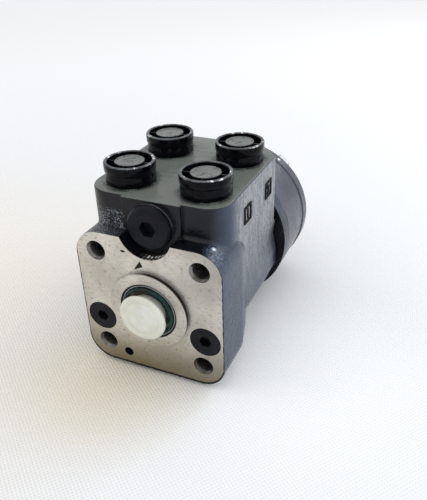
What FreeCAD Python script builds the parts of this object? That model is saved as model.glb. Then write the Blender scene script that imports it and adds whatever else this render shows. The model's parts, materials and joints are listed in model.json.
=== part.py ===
import FreeCAD, Part
import math
import os
from types import SimpleNamespace

import Sketcher
from FreeCAD import Placement, Rotation, Vector

# Orbital steering unit: a rotary spool valve and a metering gear set in one cast housing.
# Frame: +Z up (the ports look up), +Y from the steering column face to the gear set,
# origin at the centre of the column face, on the shaft's axis.

DIMENSIONS = {
    # column flange
    "flange_half_width": 41.2, "flange_top": 40.0, "flange_bottom": 41.8,
    "flange_corner": 14.0, "flange_depth": 26.0, "flange_blend_depth": 12.0, "flange_blend_drop": 3.0,
    "bolt_circle": 82.5, "bolt_tap_radius": 4.25, "bolt_mouth": 1.35, "bolt_depth": 18.0,
    "pilot_radius": 22.2, "pilot_height": 2.4,
    "drain_hole_x": 16.5, "drain_hole_z": 33.6, "drain_hole_radius": 2.75, "drain_hole_depth": 10.0,
    # port block
    "label_face_x": 38.0, "cast_face_x": 39.2, "block_top": 58.2, "block_bottom": 16.0,
    "block_front": 10.3, "block_corner": 12.0, "cast_corner": 14.0, "foot_round": 2.5,
    "block_rear_bevel_x": 12.0, "block_rear_bevel_y": 14.0,
    "body_front": 20.0, "body_rear_margin": 11.5, "neck_ring_radius": 37.0,
    "waist_half_width": 37.0, "waist_z": 8.0, "bulge_half_width": 39.2, "bulge_z": 3.0,
    "hip_half_width": 32.5, "hip_z": 28.0, "keel_half_width": 18.0, "keel_z": 38.5, "body_round": 7.0,
    "housing_length": 98.5, "rear_flange_radius": 44.0, "rear_flange_thickness": 9.2,
    "edge_round": 1.2,
    "label_frame_height": 0.6, "label_frame_size": 9.6, "label_frame_line": 1.3,
    "label_frame_z": 43.2, "label_front_y": 41.0,
    # ports
    "port_half_spacing": 21.34, "port_front_y": 28.0, "port_rear_margin": 26.0,
    "port_tap_radius": 9.5, "port_depth": 17.0, "port_mouth": 0.9,
    "passage_radius": 4.0, "passage_foot": 3.0,
    # bores
    "bore_radius": 19.0, "running_gap": 0.05,
    "dust_seat_radius": 16.3, "dust_seat_depth": 1.6, "lip_radius": 14.6, "lip_depth": 2.6,
    "seal_pocket_radius": 18.0, "bearing_front": 6.4,
    "gallery_radius": 21.5, "gallery_width": 4.0, "gallery_first": 46.0,
    "gallery_rear_margin": 16.5, "gallery_count": 5,
    # gear set
    "plate_thickness": 7.7, "ring_thickness": 20.8, "cover_thickness": 8.5, "cover_lip": 0.6,
    "cover_bevel": 1.4, "cover_joint_bevel": 0.6,
    "lobe_margin": 9.5, "lobe_radius": 9.0, "eccentricity": 2.8, "gear_gap": 0.12,
    "star_side_gap": 0.03, "star_lobes": 6,
    "screw_margin": 8.2, "screw_radius": 4.0, "screw_hole_radius": 4.2, "screw_grip": 8.2,
    "screw_head_flats": 13.0, "screw_head_height": 5.2, "washer_radius": 6.8,
    "washer_thickness": 1.2,
    "feed_inset": 7.0, "feed_radius": 2.2, "feed_depth": 18.0,
    "seal_margin": 2.3, "cord_radius": 0.8, "plate_hole_radius": 13.0,
    # spool and sleeve
    "sleeve_bore": 15.5, "sleeve_rear_gap": 2.5, "spool_nose": 1.5, "neck_radius": 14.0,
    "spool_cavity": 11.2, "spool_rear_gap": 4.0, "spline_root": 8.4, "spline_tip": 7.5,
    "spline_teeth": 12, "spline_depth": 17.0,
    "retaining_ring_thickness": 1.2, "retaining_ring_width": 7.0, "spring_slot_y": 22.0,
    "spring_slot_width": 5.0, "spring_slot_half_height": 3.2, "leaf_thickness": 0.5,
    "pin_y": 33.0, "pin_radius": 4.0, "spool_travel": 8.0,
    "race_thickness": 1.0, "outer_race_thickness": 2.0, "needle_radius": 1.0, "needle_count": 24,
    "seal_gap": 0.1,
    # drive shaft
    "fork_radius": 9.6, "fork_gap": 0.45, "fork_reach": 6.0, "fork_back": 9.0,
    "drive_neck_radius": 6.5, "drive_root": 8.9, "drive_tip": 10.4, "drive_teeth": 12,
    "drive_head_length": 13.0, "tooth_root_half": 1.35, "tooth_tip_half": 0.85,
    "spline_gap": 0.4, "spacer_radius": 9.0, "spacer_thickness": 3.2, "spacer_gap": 0.06,
    # closures
    "plug_radius": 13.46, "plug_base_height": 4.4, "plug_height": 11.1, "plug_neck_radius": 12.9,
    "plug_neck_height": 0.5, "plug_stem_gap": 0.2, "plug_stem_length": 12.0, "plug_stem_bore": 7.2,
    "plug_disc_radius": 7.9, "plug_rim_inner": 11.6, "plug_recess_depth": 8.0,
    "plug_spoke_width": 1.3, "plug_disc_drop": 0.7,
    "cap_radius": 13.1, "cap_thickness": 7.7, "cap_stem_length": 11.0, "cap_wall": 1.4,
    "cap_flange": 1.9, "cap_neck_radius": 10.0,
    "cap_ring_radius": 9.5, "cap_centre_radius": 3.2, "cap_recess": 0.5,
    # relief valve
    "relief_z": 44.8, "relief_boss_half_width": 16.2, "relief_boss_front": 8.5,
    "relief_spot_radius": 14.9, "relief_head_radius": 12.0, "relief_head_front": 4.0,
    "relief_washer_thickness": 0.8,
    "relief_thread_radius": 11.0, "relief_thread_depth": 18.0, "relief_socket_flats": 8.0,
    "relief_socket_depth": 5.0, "relief_bore_radius": 6.0, "relief_bore_depth": 54.0,
    "relief_passage_radius": 2.5, "relief_passage_depth": 62.0,
    "adjuster_front": 19.5, "adjuster_length": 7.0, "adjuster_socket_flats": 5.0,
    "relief_seat_length": 5.0, "relief_seat_bore": 2.2, "relief_mouth_radius": 3.4,
    "relief_poppet_radius": 4.4, "relief_poppet_length": 5.0,
    "relief_wire": 0.6, "relief_coils": 6.0,
    # shock valves
    "shock_x": 30.8, "shock_z": 12.6, "shock_plug_radius": 8.6, "shock_plug_depth": 7.0,
    "shock_plug_face": 0.1, "shock_socket_flats": 6.0, "shock_socket_depth": 4.5,
    "shock_bore_radius": 5.0, "shock_bore_depth": 36.0, "shock_passage_radius": 1.8,
    "shock_passage_depth": 44.0, "shock_seat_length": 5.0, "shock_seat_bore": 1.8,
    "shock_mouth_radius": 2.8, "shock_poppet_radius": 3.6, "shock_poppet_length": 4.0,
    "shock_wire": 0.5, "shock_coils": 6.0,
    # suction and check valves
    "suction_circle": 27.0, "suction_bore_radius": 3.3, "suction_ball_radius": 3.0,
    "suction_pin_radius": 1.2, "suction_pin_length": 13.0, "suction_pin_sink": 0.2,
    "suction_passage_radius": 1.8, "suction_lift": 2.7,
    "check_bushing_radius": 7.0, "check_bushing_length": 8.0, "check_bushing_bore": 3.4,
    "check_ball_radius": 4.25, "check_chamber_radius": 4.8,
    "check_lift": 2.2, "check_chamfer": 0.45,
}

doc = FreeCAD.newDocument("SteeringUnit")
sheet = doc.addObject("Spreadsheet::Sheet", "Sizes")
for row, (alias, number) in enumerate(DIMENSIONS.items(), start=1):
    sheet.set(f"A{row}", alias)
    sheet.set(f"B{row}", str(number))
    sheet.setAlias(f"B{row}", alias)
doc.recompute()


class Size:
    """A length that carries its number and the sheet expression that gives it."""

    def __init__(self, value, text):
        self.value = float(value)
        self.text = text

    def __add__(self, other):
        other = as_size(other)
        return Size(self.value + other.value, f"({self.text} + {other.text})")

    def __sub__(self, other):
        other = as_size(other)
        return Size(self.value - other.value, f"({self.text} - {other.text})")

    def __mul__(self, other):
        other = as_size(other)
        return Size(self.value * other.value, f"({self.text} * {other.text})")

    def __truediv__(self, other):
        other = as_size(other)
        return Size(self.value / other.value, f"({self.text} / {other.text})")

    def __neg__(self):
        return Size(-self.value, f"(0 - {self.text})")

    def __float__(self):
        return self.value


def as_size(number):
    return number if isinstance(number, Size) else Size(number, repr(float(number)))


def root(size):
    return Size(math.sqrt(size.value), f"sqrt({size.text})")


d = SimpleNamespace(**{alias: Size(sheet.get(alias), f"Sizes.{alias}") for alias in DIMENSIONS})
FULL_TURN = 360.0
HEX_CORNER = 2.0 / math.sqrt(3.0)

# Places that several pieces share
bolt_offset = d.bolt_circle / (2.0 * math.sqrt(2.0))
body_rear = d.housing_length - d.body_rear_margin
port_rear = d.housing_length - d.port_rear_margin
gallery_pitch = (d.housing_length - d.gallery_first - d.gallery_rear_margin) / (d.gallery_count - 1.0)
cover_radius = d.rear_flange_radius + d.cover_lip
lobe_circle = d.rear_flange_radius - d.lobe_margin
feed_circle = lobe_circle - d.feed_inset
screw_circle = d.rear_flange_radius - d.screw_margin
seal_circle = d.rear_flange_radius - d.seal_margin
sleeve_front = d.bearing_front + d.outer_race_thickness + d.needle_radius * 2.0 + d.race_thickness
sleeve_rear = d.housing_length - d.sleeve_rear_gap
spool_rear = d.housing_length - d.spool_rear_gap
spool_shoulder = sleeve_front + d.seal_gap
plate_front = d.housing_length
ring_front = plate_front + d.plate_thickness
cover_front = ring_front + d.ring_thickness
cover_rear = cover_front + d.cover_thickness
ring_middle = ring_front + d.ring_thickness / 2.0
ring_lobes = d.star_lobes + 1.0
lobe_tip = lobe_circle - d.lobe_radius
head_top = d.block_top + d.plug_height
suction_depth = (d.suction_pin_length + d.suction_pin_sink + d.suction_lift + d.suction_ball_radius * 2.0
                 + d.running_gap)
check_drop = root(d.check_ball_radius * d.check_ball_radius
                  - d.check_bushing_bore * d.check_bushing_bore) - d.check_chamfer
check_chamber = check_drop + d.check_lift + d.check_ball_radius + d.running_gap


# Sketch and feature helpers

def bind(target, path, size):
    target.setExpression(path, as_size(size).text)


def origin_item(body, role):
    return next(item for item in body.Origin.OriginFeatures if item.Role == role)


def new_body(label):
    body = doc.addObject("PartDesign::Body", label)
    body.Label = label
    return body


def sketch(body, role, offset=None):
    flat = body.newObject("Sketcher::SketchObject", body.Name + "_sketch")
    flat.AttachmentSupport = [(origin_item(body, role), "")]
    flat.MapMode = "FlatFace"
    if offset is not None:
        bind(flat, "AttachmentOffset.Base.z", offset)
    return flat


def face_sketch(body, station=None):
    """A sketch across the shaft axis, X right and Z up, at a distance along +Y."""
    return sketch(body, "XZ_Plane", None if station is None else -as_size(station))


def pin_point(flat, line, vertex, across, up):
    for kind, size, axis in (("DistanceX", across, -2), ("DistanceY", up, -1)):
        if size.value == 0:
            flat.addConstraint(Sketcher.Constraint("PointOnObject", line, vertex, axis))
        elif size.value > 0:
            rule = Sketcher.Constraint(kind, -1, 1, line, vertex, size.value)
            flat.setExpression(f"Constraints[{flat.addConstraint(rule)}]", size.text)
        else:
            rule = Sketcher.Constraint(kind, line, vertex, -1, 1, -size.value)
            flat.setExpression(f"Constraints[{flat.addConstraint(rule)}]", (-size).text)


def polygon(flat, points):
    points = [(as_size(across), as_size(up)) for across, up in points]
    corners = [Vector(across.value, up.value, 0) for across, up in points]
    first = flat.GeometryCount
    count = len(points)
    lines = [Part.LineSegment(corners[i], corners[(i + 1) % count]) for i in range(count)]
    flat.addGeometry(lines, False)
    for i in range(count):
        flat.addConstraint(Sketcher.Constraint("Coincident", first + i, 2, first + (i + 1) % count, 1))
    for i, (across, up) in enumerate(points):
        pin_point(flat, first + i, 1, across, up)
    return flat


def rectangle(flat, left, right, bottom, top):
    return polygon(flat, [(left, bottom), (right, bottom), (right, top), (left, top)])


def circle(flat, across, up, radius):
    across, up, radius = as_size(across), as_size(up), as_size(radius)
    ring = flat.addGeometry(Part.Circle(Vector(across.value, up.value, 0), Vector(0, 0, 1), radius.value), False)
    pin_point(flat, ring, 3, across, up)
    rule = flat.addConstraint(Sketcher.Constraint("Radius", ring, radius.value))
    flat.setExpression(f"Constraints[{rule}]", radius.text)
    return flat


def rounded_rectangle(flat, left, right, bottom, top, corner):
    """Four lines tangent to four corner arcs whose centres are pinned."""
    centres = [(right - corner, top - corner, 0), (left + corner, top - corner, 90),
               (left + corner, bottom + corner, 180), (right - corner, bottom + corner, 270)]
    arcs = []
    for across, up, start in centres:
        disc = Part.Circle(Vector(across.value, up.value, 0), Vector(0, 0, 1), corner.value)
        arcs.append(Part.ArcOfCircle(disc, math.radians(start), math.radians(start + 90)))
    lines = [Part.LineSegment(arcs[i].EndPoint, arcs[(i + 1) % 4].StartPoint) for i in range(4)]
    flat.addGeometry(arcs + lines, False)
    for i, (across, up, start) in enumerate(centres):
        flat.addConstraint(Sketcher.Constraint("Tangent", i, 2, 4 + i, 1))
        flat.addConstraint(Sketcher.Constraint("Tangent", 4 + i, 2, (i + 1) % 4, 1))
        pin_point(flat, i, 3, across, up)
        rule = flat.addConstraint(Sketcher.Constraint("Radius", i, corner.value))
        flat.setExpression(f"Constraints[{rule}]", corner.text)
    return flat


def extrude(body, kind, flat, length, reverse):
    feature = body.newObject("PartDesign::" + kind, body.Name + "_" + kind.lower())
    feature.Profile = flat
    bind(feature, "Length", length)
    feature.Reversed = reverse
    flat.Visibility = False
    return feature


def pad_back(body, flat, length):
    """Adds material from a face sketch towards +Y."""
    return extrude(body, "Pad", flat, length, True)


def pocket_back(body, flat, length):
    """Cuts from a face sketch towards +Y."""
    return extrude(body, "Pocket", flat, length, False)


def pocket_down(body, flat, length):
    return extrude(body, "Pocket", flat, length, False)


def pocket_both(body, flat, length):
    feature = extrude(body, "Pocket", flat, length, False)
    feature.Midplane = True
    return feature


def spin(body, kind, flat):
    feature = body.newObject("PartDesign::" + kind, body.Name + "_" + kind.lower())
    feature.Profile = flat
    feature.ReferenceAxis = (flat, ["V_Axis"])
    feature.Angle = FULL_TURN
    flat.Visibility = False
    return feature


def turn(body, points):
    """Turns a half section, given as radius and distance along the axis."""
    return spin(body, "Revolution", polygon(sketch(body, "XY_Plane"), points))


def bore_out(body, points):
    return spin(body, "Groove", polygon(sketch(body, "XY_Plane"), points))


def polar(body, feature, count, role="Y_Axis"):
    pattern = body.newObject("PartDesign::PolarPattern", body.Name + "_pattern")
    pattern.Originals = [feature]
    pattern.Axis = (origin_item(body, role), [""])
    pattern.Angle = FULL_TURN
    bind(pattern, "Occurrences", count)
    body.Tip = pattern
    return pattern


def dress(body, kind, size, wanted):
    """Rounds or bevels the edges that the test picks."""
    doc.recompute()
    tip = body.Tip
    names = [f"Edge{i}" for i, edge in enumerate(tip.Shape.Edges, start=1) if wanted(edge)]
    if not names:
        raise RuntimeError(f"{body.Label}: no edge to dress")
    feature = body.newObject("PartDesign::" + kind, body.Name + "_" + kind.lower())
    feature.Base = (tip, names)
    bind(feature, "Radius" if kind == "Fillet" else "Size", size)
    body.Tip = feature
    return feature


def near(value, target):
    return abs(float(value) - float(target)) < 0.02


def is_circle(edge, radius, y=None, z=None):
    if not isinstance(edge.Curve, Part.Circle) or not near(edge.Curve.Radius, radius):
        return False
    centre = edge.Curve.Center
    return (y is None or near(centre.y, y)) and (z is None or near(centre.z, z))


def hexagon(flat, across, up, flats):
    corner = flats * (HEX_CORNER / 2.0)
    half, rise = corner / 2.0, flats / 2.0
    return polygon(flat, [(across + corner, up), (across + half, up + rise), (across - half, up + rise),
                          (across - corner, up), (across - half, up - rise), (across + half, up - rise)])


def plain_shape(label, shape, placement=None):
    feature = doc.addObject("Part::Feature", label)
    feature.Label = label
    feature.Shape = shape
    if placement is not None:
        feature.Placement = placement
    return feature


def along_y(radius, start, end, across=0.0, up=0.0):
    return Part.makeCylinder(float(radius), float(end) - float(start),
                             Vector(float(across), float(start), float(up)), Vector(0, 1, 0))


def around(count, radius, first=0.0):
    """Points evenly spaced on a circle across the shaft axis, as X and Z."""
    for i in range(int(float(count))):
        angle = math.radians(first + FULL_TURN * i / float(count))
        yield float(radius) * math.cos(angle), float(radius) * math.sin(angle)


def coil_spring(label, wire, radius, start, end, coils, across, up):
    """A compression spring along +Y between two seats, with a flat-lying end turn each side."""
    wire, radius = float(wire), float(radius)
    free = float(end) - float(start) - 2.0 * wire
    helix = Part.makeHelix(free / float(coils), free, radius)
    start_ring = Part.Wire(Part.makeCircle(wire, Vector(radius, 0, 0), Vector(0, 1, 0)))
    coil = Part.Wire(helix.Edges).makePipeShell([start_ring], True, True)
    coil.rotate(Vector(0, 0, 0), Vector(1, 0, 0), -90)
    coil.translate(Vector(float(across), float(start) + wire, float(up)))
    return plain_shape(label, coil)


# Housing casting

def housing():
    body = new_body("housing")
    block_depth = d.block_top - d.block_bottom
    bevel_y = d.housing_length - d.block_rear_bevel_y
    plan = sketch(body, "XY_Plane", d.block_bottom)
    polygon(plan, [(-d.cast_face_x, d.block_front), (d.label_face_x, d.block_front),
                   (d.label_face_x, bevel_y), (d.label_face_x - d.block_rear_bevel_x, d.housing_length),
                   (-d.cast_face_x + d.block_rear_bevel_x, d.housing_length), (-d.cast_face_x, bevel_y)])
    extrude(body, "Pad", plan, block_depth, False)
    for corner, side in ((d.block_corner, 1.0), (d.cast_corner, -1.0)):
        dress(body, "Fillet", corner,
              lambda edge: near(edge.BoundBox.ZLength, block_depth)
              and near(edge.BoundBox.YMax, d.block_front) and edge.BoundBox.XMax * side > 0.0)
    dress(body, "Fillet", d.edge_round,
          lambda edge: near(edge.BoundBox.ZMin, d.block_top) and near(edge.BoundBox.ZMax, d.block_top))

    section = face_sketch(body, d.body_front)
    right = [(d.label_face_x, d.block_bottom + 1.0), (d.label_face_x, d.block_bottom),
             (d.waist_half_width, d.waist_z), (d.bulge_half_width, -d.bulge_z),
             (d.bulge_half_width, -d.shock_z), (d.hip_half_width, -d.hip_z), (d.keel_half_width, -d.keel_z)]
    left = [(-d.cast_face_x, up) for across, up in right[:2]] + [(-across, up) for across, up in right[2:]]
    polygon(section, right + left[::-1])
    pad_back(body, section, body_rear - d.body_front)
    dress(body, "Fillet", d.body_round,
          lambda edge: near(edge.BoundBox.YLength, body_rear - d.body_front)
          and edge.BoundBox.ZMax < d.waist_z.value - 1.0)

    neck = circle(face_sketch(body, body_rear - 5.0), 0.0, 0.0, d.neck_ring_radius)
    pad_back(body, neck, d.housing_length - body_rear)
    rear = circle(face_sketch(body, d.housing_length - d.rear_flange_thickness), 0.0, 0.0,
                  d.rear_flange_radius)
    pad_back(body, rear, d.rear_flange_thickness)
    flange_face(face_sketch(body), 0.0)
    pad_back(body, body.Group[-1], d.flange_depth)
    blend = body.newObject("PartDesign::AdditiveLoft", "housing_blend")
    blend.Profile = flange_face(face_sketch(body, d.flange_depth), 0.0)
    blend.Sections = [flange_face(face_sketch(body, d.flange_depth + d.flange_blend_depth),
                                  d.flange_blend_drop)]
    blend.Ruled = True
    dress(body, "Fillet", d.foot_round,
          lambda edge: near(edge.BoundBox.ZMin, d.flange_top) and near(edge.BoundBox.ZMax, d.flange_top)
          and edge.BoundBox.YMin < d.block_front.value + 1.0 and edge.BoundBox.YMin > 5.0)
    pilot = circle(face_sketch(body, -d.pilot_height), 0.0, 0.0, d.pilot_radius)
    pad_back(body, pilot, d.pilot_height)
    boss_length = d.block_front + d.edge_round * 2.0 - d.relief_boss_front
    boss = circle(face_sketch(body, d.relief_boss_front), 0.0, d.relief_z, d.relief_boss_half_width)
    pad_back(body, boss, boss_length)
    over_boss = sketch(body, "XY_Plane", d.block_top + d.relief_boss_half_width)
    rectangle(over_boss, -d.relief_boss_half_width, d.relief_boss_half_width, 0.0, d.block_front + 4.0)
    pocket_down(body, over_boss, d.relief_boss_half_width)
    shoulders = rectangle(face_sketch(body, d.relief_boss_front), -d.relief_boss_half_width,
                          d.relief_boss_half_width, d.relief_z, d.block_top)
    pad_back(body, shoulders, boss_length)

    for station in (d.label_front_y, port_rear):
        half, line = d.label_frame_size / 2.0, d.label_frame_line
        label = sketch(body, "YZ_Plane", d.label_face_x)
        for inset in (as_size(0.0), line):
            rectangle(label, station - half + inset, station + half - inset,
                      d.label_frame_z - half + inset, d.label_frame_z + half - inset)
        extrude(body, "Pad", label, d.label_frame_height, False)

    cut_valve_bores(body)
    cut_ports(body)
    cut_rear_face(body)
    return body


def flange_face(flat, drop):
    """The column flange's outline, drawn in by a drop for the blend behind it."""
    return rounded_rectangle(flat, -d.flange_half_width + drop, d.flange_half_width - drop,
                             -d.flange_bottom + drop, d.flange_top - drop, d.flange_corner)


def cut_valve_bores(body):
    """The spool bore, the column bolt holes, and the relief and shock valve bores."""
    bore = d.bore_radius
    front = -d.pilot_height
    bore_out(body, [(0.0, front), (d.dust_seat_radius, front), (d.dust_seat_radius, d.dust_seat_depth),
                    (d.lip_radius, d.dust_seat_depth), (d.lip_radius, d.lip_depth),
                    (d.seal_pocket_radius, d.lip_depth), (d.seal_pocket_radius, d.bearing_front),
                    (bore, d.bearing_front), (bore, d.housing_length), (0.0, d.housing_length)])
    for i in range(int(d.gallery_count.value)):
        station = d.gallery_first + gallery_pitch * float(i)
        half = d.gallery_width / 2.0
        bore_out(body, [(bore - 1.0, station - half), (d.gallery_radius, station - half),
                        (d.gallery_radius, station + half), (bore - 1.0, station + half)])

    bolts = face_sketch(body)
    for side in (-1.0, 1.0):
        for level in (-1.0, 1.0):
            circle(bolts, bolt_offset * side, bolt_offset * level, d.bolt_tap_radius)
    pocket_back(body, bolts, d.bolt_depth)
    dress(body, "Chamfer", d.bolt_mouth, lambda edge: is_circle(edge, d.bolt_tap_radius, y=0.0))
    pocket_back(body, circle(face_sketch(body), -d.drain_hole_x, -d.drain_hole_z, d.drain_hole_radius),
                d.drain_hole_depth)

    for radius, depth in ((d.relief_spot_radius, d.relief_boss_front),
                          (d.relief_thread_radius, d.relief_thread_depth),
                          (d.relief_bore_radius, d.relief_bore_depth),
                          (d.relief_passage_radius, d.relief_passage_depth)):
        pocket_back(body, circle(face_sketch(body), 0.0, d.relief_z, radius), depth)
    for side in (-1.0, 1.0):
        for radius, depth in ((d.shock_plug_radius + d.running_gap, d.shock_plug_depth),
                              (d.shock_bore_radius, d.shock_bore_depth),
                              (d.shock_passage_radius, d.shock_passage_depth)):
            pocket_back(body, circle(face_sketch(body), d.shock_x * side, -d.shock_z, radius), depth)


def cut_ports(body):
    """Four threaded ports in the top face, each over a passage that meets the spool bore."""
    taps, passages = sketch(body, "XY_Plane", d.block_top), sketch(body, "XY_Plane", d.block_top)
    for side in (-1.0, 1.0):
        for station in (d.port_front_y, port_rear):
            circle(taps, d.port_half_spacing * side, station, d.port_tap_radius)
            if not (side > 0 and station is port_rear):
                circle(passages, d.port_half_spacing * side, station, d.passage_radius)
    pocket_down(body, taps, d.port_depth)
    dress(body, "Chamfer", d.port_mouth, lambda edge: is_circle(edge, d.port_tap_radius, z=d.block_top))
    pocket_down(body, passages, d.block_top - d.passage_foot)

    floor = d.port_depth
    bushing_end = floor + d.check_bushing_length
    for radius, depth, shift in ((d.check_bushing_radius, bushing_end, 0.0),
                                 (d.check_chamber_radius, bushing_end + check_chamber, 0.0),
                                 (d.check_ball_radius - 1.0, d.block_top - d.passage_foot, 1.5)):
        stage = sketch(body, "XY_Plane", d.block_top)
        pocket_down(body, circle(stage, d.port_half_spacing - shift, port_rear, radius), depth)


def cut_rear_face(body):
    """Feed passages, tapped screw holes, the seal groove and the suction valve bores."""
    middle = math.pi / ring_lobes.value
    feed = circle(face_sketch(body, d.housing_length - d.feed_depth), feed_circle * math.cos(middle),
                  feed_circle * math.sin(middle), d.feed_radius)
    polar(body, pocket_back(body, feed, d.feed_depth), ring_lobes)
    screw = circle(face_sketch(body, d.housing_length - d.screw_grip), screw_circle, 0.0,
                   d.screw_radius + d.running_gap)
    polar(body, pocket_back(body, screw, d.screw_grip), ring_lobes)
    seal_groove(body, d.housing_length, -1.0)
    for across, up in suction_places():
        for radius, depth in ((d.suction_bore_radius, suction_depth),
                              (d.suction_passage_radius, suction_depth + 5.0)):
            pocket_back(body, circle(face_sketch(body, d.housing_length - depth), across, up, radius), depth)


def seal_groove(body, station, inward):
    """A round groove for an O-ring, cut into the face at this station."""
    deep = station + d.cord_radius * 2.2 * inward
    inner, outer = seal_circle - d.cord_radius, seal_circle + d.cord_radius
    bore_out(body, [(inner, station), (outer, station), (outer, deep), (inner, deep)])


def suction_places():
    step = 2.0 * math.pi / ring_lobes.value
    for turns in (-1.0, 4.0):
        yield d.suction_circle * math.cos(step * turns), d.suction_circle * math.sin(step * turns)


# Gear set

def distributor_plate():
    body = new_body("distributor_plate")
    turn(body, [(d.plate_hole_radius, plate_front), (d.rear_flange_radius, plate_front),
                (d.rear_flange_radius, ring_front), (d.plate_hole_radius, ring_front)])
    screw = circle(face_sketch(body, plate_front), screw_circle, 0.0, d.screw_hole_radius)
    polar(body, pocket_back(body, screw, d.plate_thickness), ring_lobes)
    middle = math.pi / ring_lobes.value
    feed = circle(face_sketch(body, plate_front), feed_circle * math.cos(middle),
                  feed_circle * math.sin(middle), d.feed_radius)
    polar(body, pocket_back(body, feed, d.plate_thickness), ring_lobes)
    seal_groove(body, ring_front, -1.0)
    return body


def gear_ring():
    """The outer ring of the metering pair: seven round lobes look inwards."""
    start, end = ring_front, cover_front
    valley = lobe_tip + d.eccentricity * 2.0 + d.gear_gap
    cavity = along_y(valley, start - 1.0, end + 1.0)
    lobes = [along_y(d.lobe_radius, start - 1.0, end + 1.0, x, z) for x, z in around(ring_lobes, lobe_circle)]
    holes = [along_y(d.screw_hole_radius, start - 1.0, end + 1.0, x, z)
             for x, z in around(ring_lobes, screw_circle)]
    ring = along_y(d.rear_flange_radius, start, end).cut(cavity.cut(lobes)).cut(holes)
    return plain_shape("gear_ring", ring)


def star_outline():
    """The star's edge: the path of a lobe centre, moved in by the lobe's radius and the gap."""
    steps = int(d.star_lobes.value) * 20
    offset = d.lobe_radius.value + d.gear_gap.value / 2.0
    lobes, circle_radius, throw = ring_lobes.value, lobe_circle.value, d.eccentricity.value
    points = []
    for i in range(steps):
        turn_angle = 2.0 * math.pi * i / steps
        x = circle_radius * math.cos(turn_angle) - throw * math.cos(lobes * turn_angle)
        z = circle_radius * math.sin(turn_angle) - throw * math.sin(lobes * turn_angle)
        slope_x = -circle_radius * math.sin(turn_angle) + throw * lobes * math.sin(lobes * turn_angle)
        slope_z = circle_radius * math.cos(turn_angle) - throw * lobes * math.cos(lobes * turn_angle)
        length = math.hypot(slope_x, slope_z)
        points.append(Vector(x - offset * slope_z / length, 0, z + offset * slope_x / length))
    curve = Part.BSplineCurve()
    curve.interpolate(Points=points, PeriodicFlag=True)
    return Part.Face(Part.Wire(curve.toShape()))


def spline_teeth(root, tip, root_half, tip_half, start, end):
    """Trapezoid bars round the axis, as teeth or as the spaces for them."""
    profile = Part.makePolygon([Vector(root, 0, -root_half), Vector(tip, 0, -tip_half),
                                Vector(tip, 0, tip_half), Vector(root, 0, root_half),
                                Vector(root, 0, -root_half)])
    bar = Part.Face(profile).extrude(Vector(0, end - start, 0))
    bar.translate(Vector(0, start, 0))
    bars = []
    for i in range(int(d.drive_teeth.value)):
        copy = bar.copy()
        copy.rotate(Vector(0, 0, 0), Vector(0, 1, 0), FULL_TURN * i / d.drive_teeth.value)
        bars.append(copy)
    return bars


def gear_star():
    thickness = d.ring_thickness.value - 2.0 * d.star_side_gap.value
    star = star_outline().extrude(Vector(0, thickness, 0))
    gap = d.spline_gap.value
    hole = along_y(d.drive_root + gap, -1.0, thickness + 1.0)
    spaces = spline_teeth(d.drive_root.value - 1.0, d.drive_tip.value + gap, d.tooth_root_half.value + gap * 1.5,
                          d.tooth_tip_half.value + gap, -1.0, thickness + 1.0)
    star = star.cut([hole] + spaces)
    place = Placement(Vector(d.eccentricity.value, ring_front.value + d.star_side_gap.value, 0), Rotation())
    return plain_shape("gear_star", star, place)


def limiter_disc():
    body = new_body("limiter_disc")
    rear = cover_front - d.spacer_gap
    front = rear - d.spacer_thickness
    bevel = d.cover_joint_bevel
    turn(body, [(0.0, front), (d.spacer_radius - bevel, front), (d.spacer_radius, front + bevel),
                (d.spacer_radius, rear), (0.0, rear)])
    bind(body, "Placement.Base.x", d.eccentricity)
    return body


def drive_shaft():
    """The shaft that turns the star with the sleeve: a fork on the cross pin, a splined far end."""
    span = ring_middle.value - d.pin_y.value
    half_head = d.drive_head_length.value / 2.0
    fork = along_y(d.fork_radius, -d.fork_reach, d.fork_back)
    throat = Part.makeCone(d.fork_radius.value, d.drive_neck_radius.value, d.fork_back.value / 2.0,
                           Vector(0, d.fork_back.value, 0), Vector(0, 1, 0))
    neck = along_y(d.drive_neck_radius, d.fork_back, span - half_head)
    head = along_y(d.drive_root, span - half_head, span + half_head)
    teeth = spline_teeth(d.drive_root.value - 1.0, d.drive_tip.value, d.tooth_root_half.value,
                         d.tooth_tip_half.value, span - half_head, span + half_head)
    shaft = fork.fuse([throat, neck, head] + teeth).removeSplitter()
    half_slot = d.pin_radius.value + d.fork_gap.value
    reach = d.fork_reach.value + 1.0
    slot = Part.makeBox(2.0 * d.fork_radius.value + 2.0, reach, 2.0 * half_slot,
                        Vector(-d.fork_radius.value - 1.0, -reach, -half_slot))
    slot_end = Part.makeCylinder(half_slot, 2.0 * d.fork_radius.value + 2.0,
                                 Vector(-d.fork_radius.value - 1.0, 0, 0), Vector(1, 0, 0))
    shaft = shaft.cut([slot, slot_end])
    tilt = -math.degrees(math.atan2(d.eccentricity.value, span))
    place = Placement(Vector(0, d.pin_y.value, 0), Rotation(Vector(0, 0, 1), tilt))
    return plain_shape("drive_shaft", shaft, place)


def end_cover():
    body = new_body("end_cover")
    turn(body, [(0.0, cover_front), (cover_radius - d.cover_joint_bevel, cover_front),
                (cover_radius, cover_front + d.cover_joint_bevel), (cover_radius, cover_rear - d.cover_bevel),
                (cover_radius - d.cover_bevel, cover_rear), (0.0, cover_rear)])
    screw = circle(face_sketch(body, cover_front), screw_circle, 0.0, d.screw_hole_radius)
    polar(body, pocket_back(body, screw, d.cover_thickness), ring_lobes)
    seal_groove(body, cover_front, 1.0)
    return body


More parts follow.
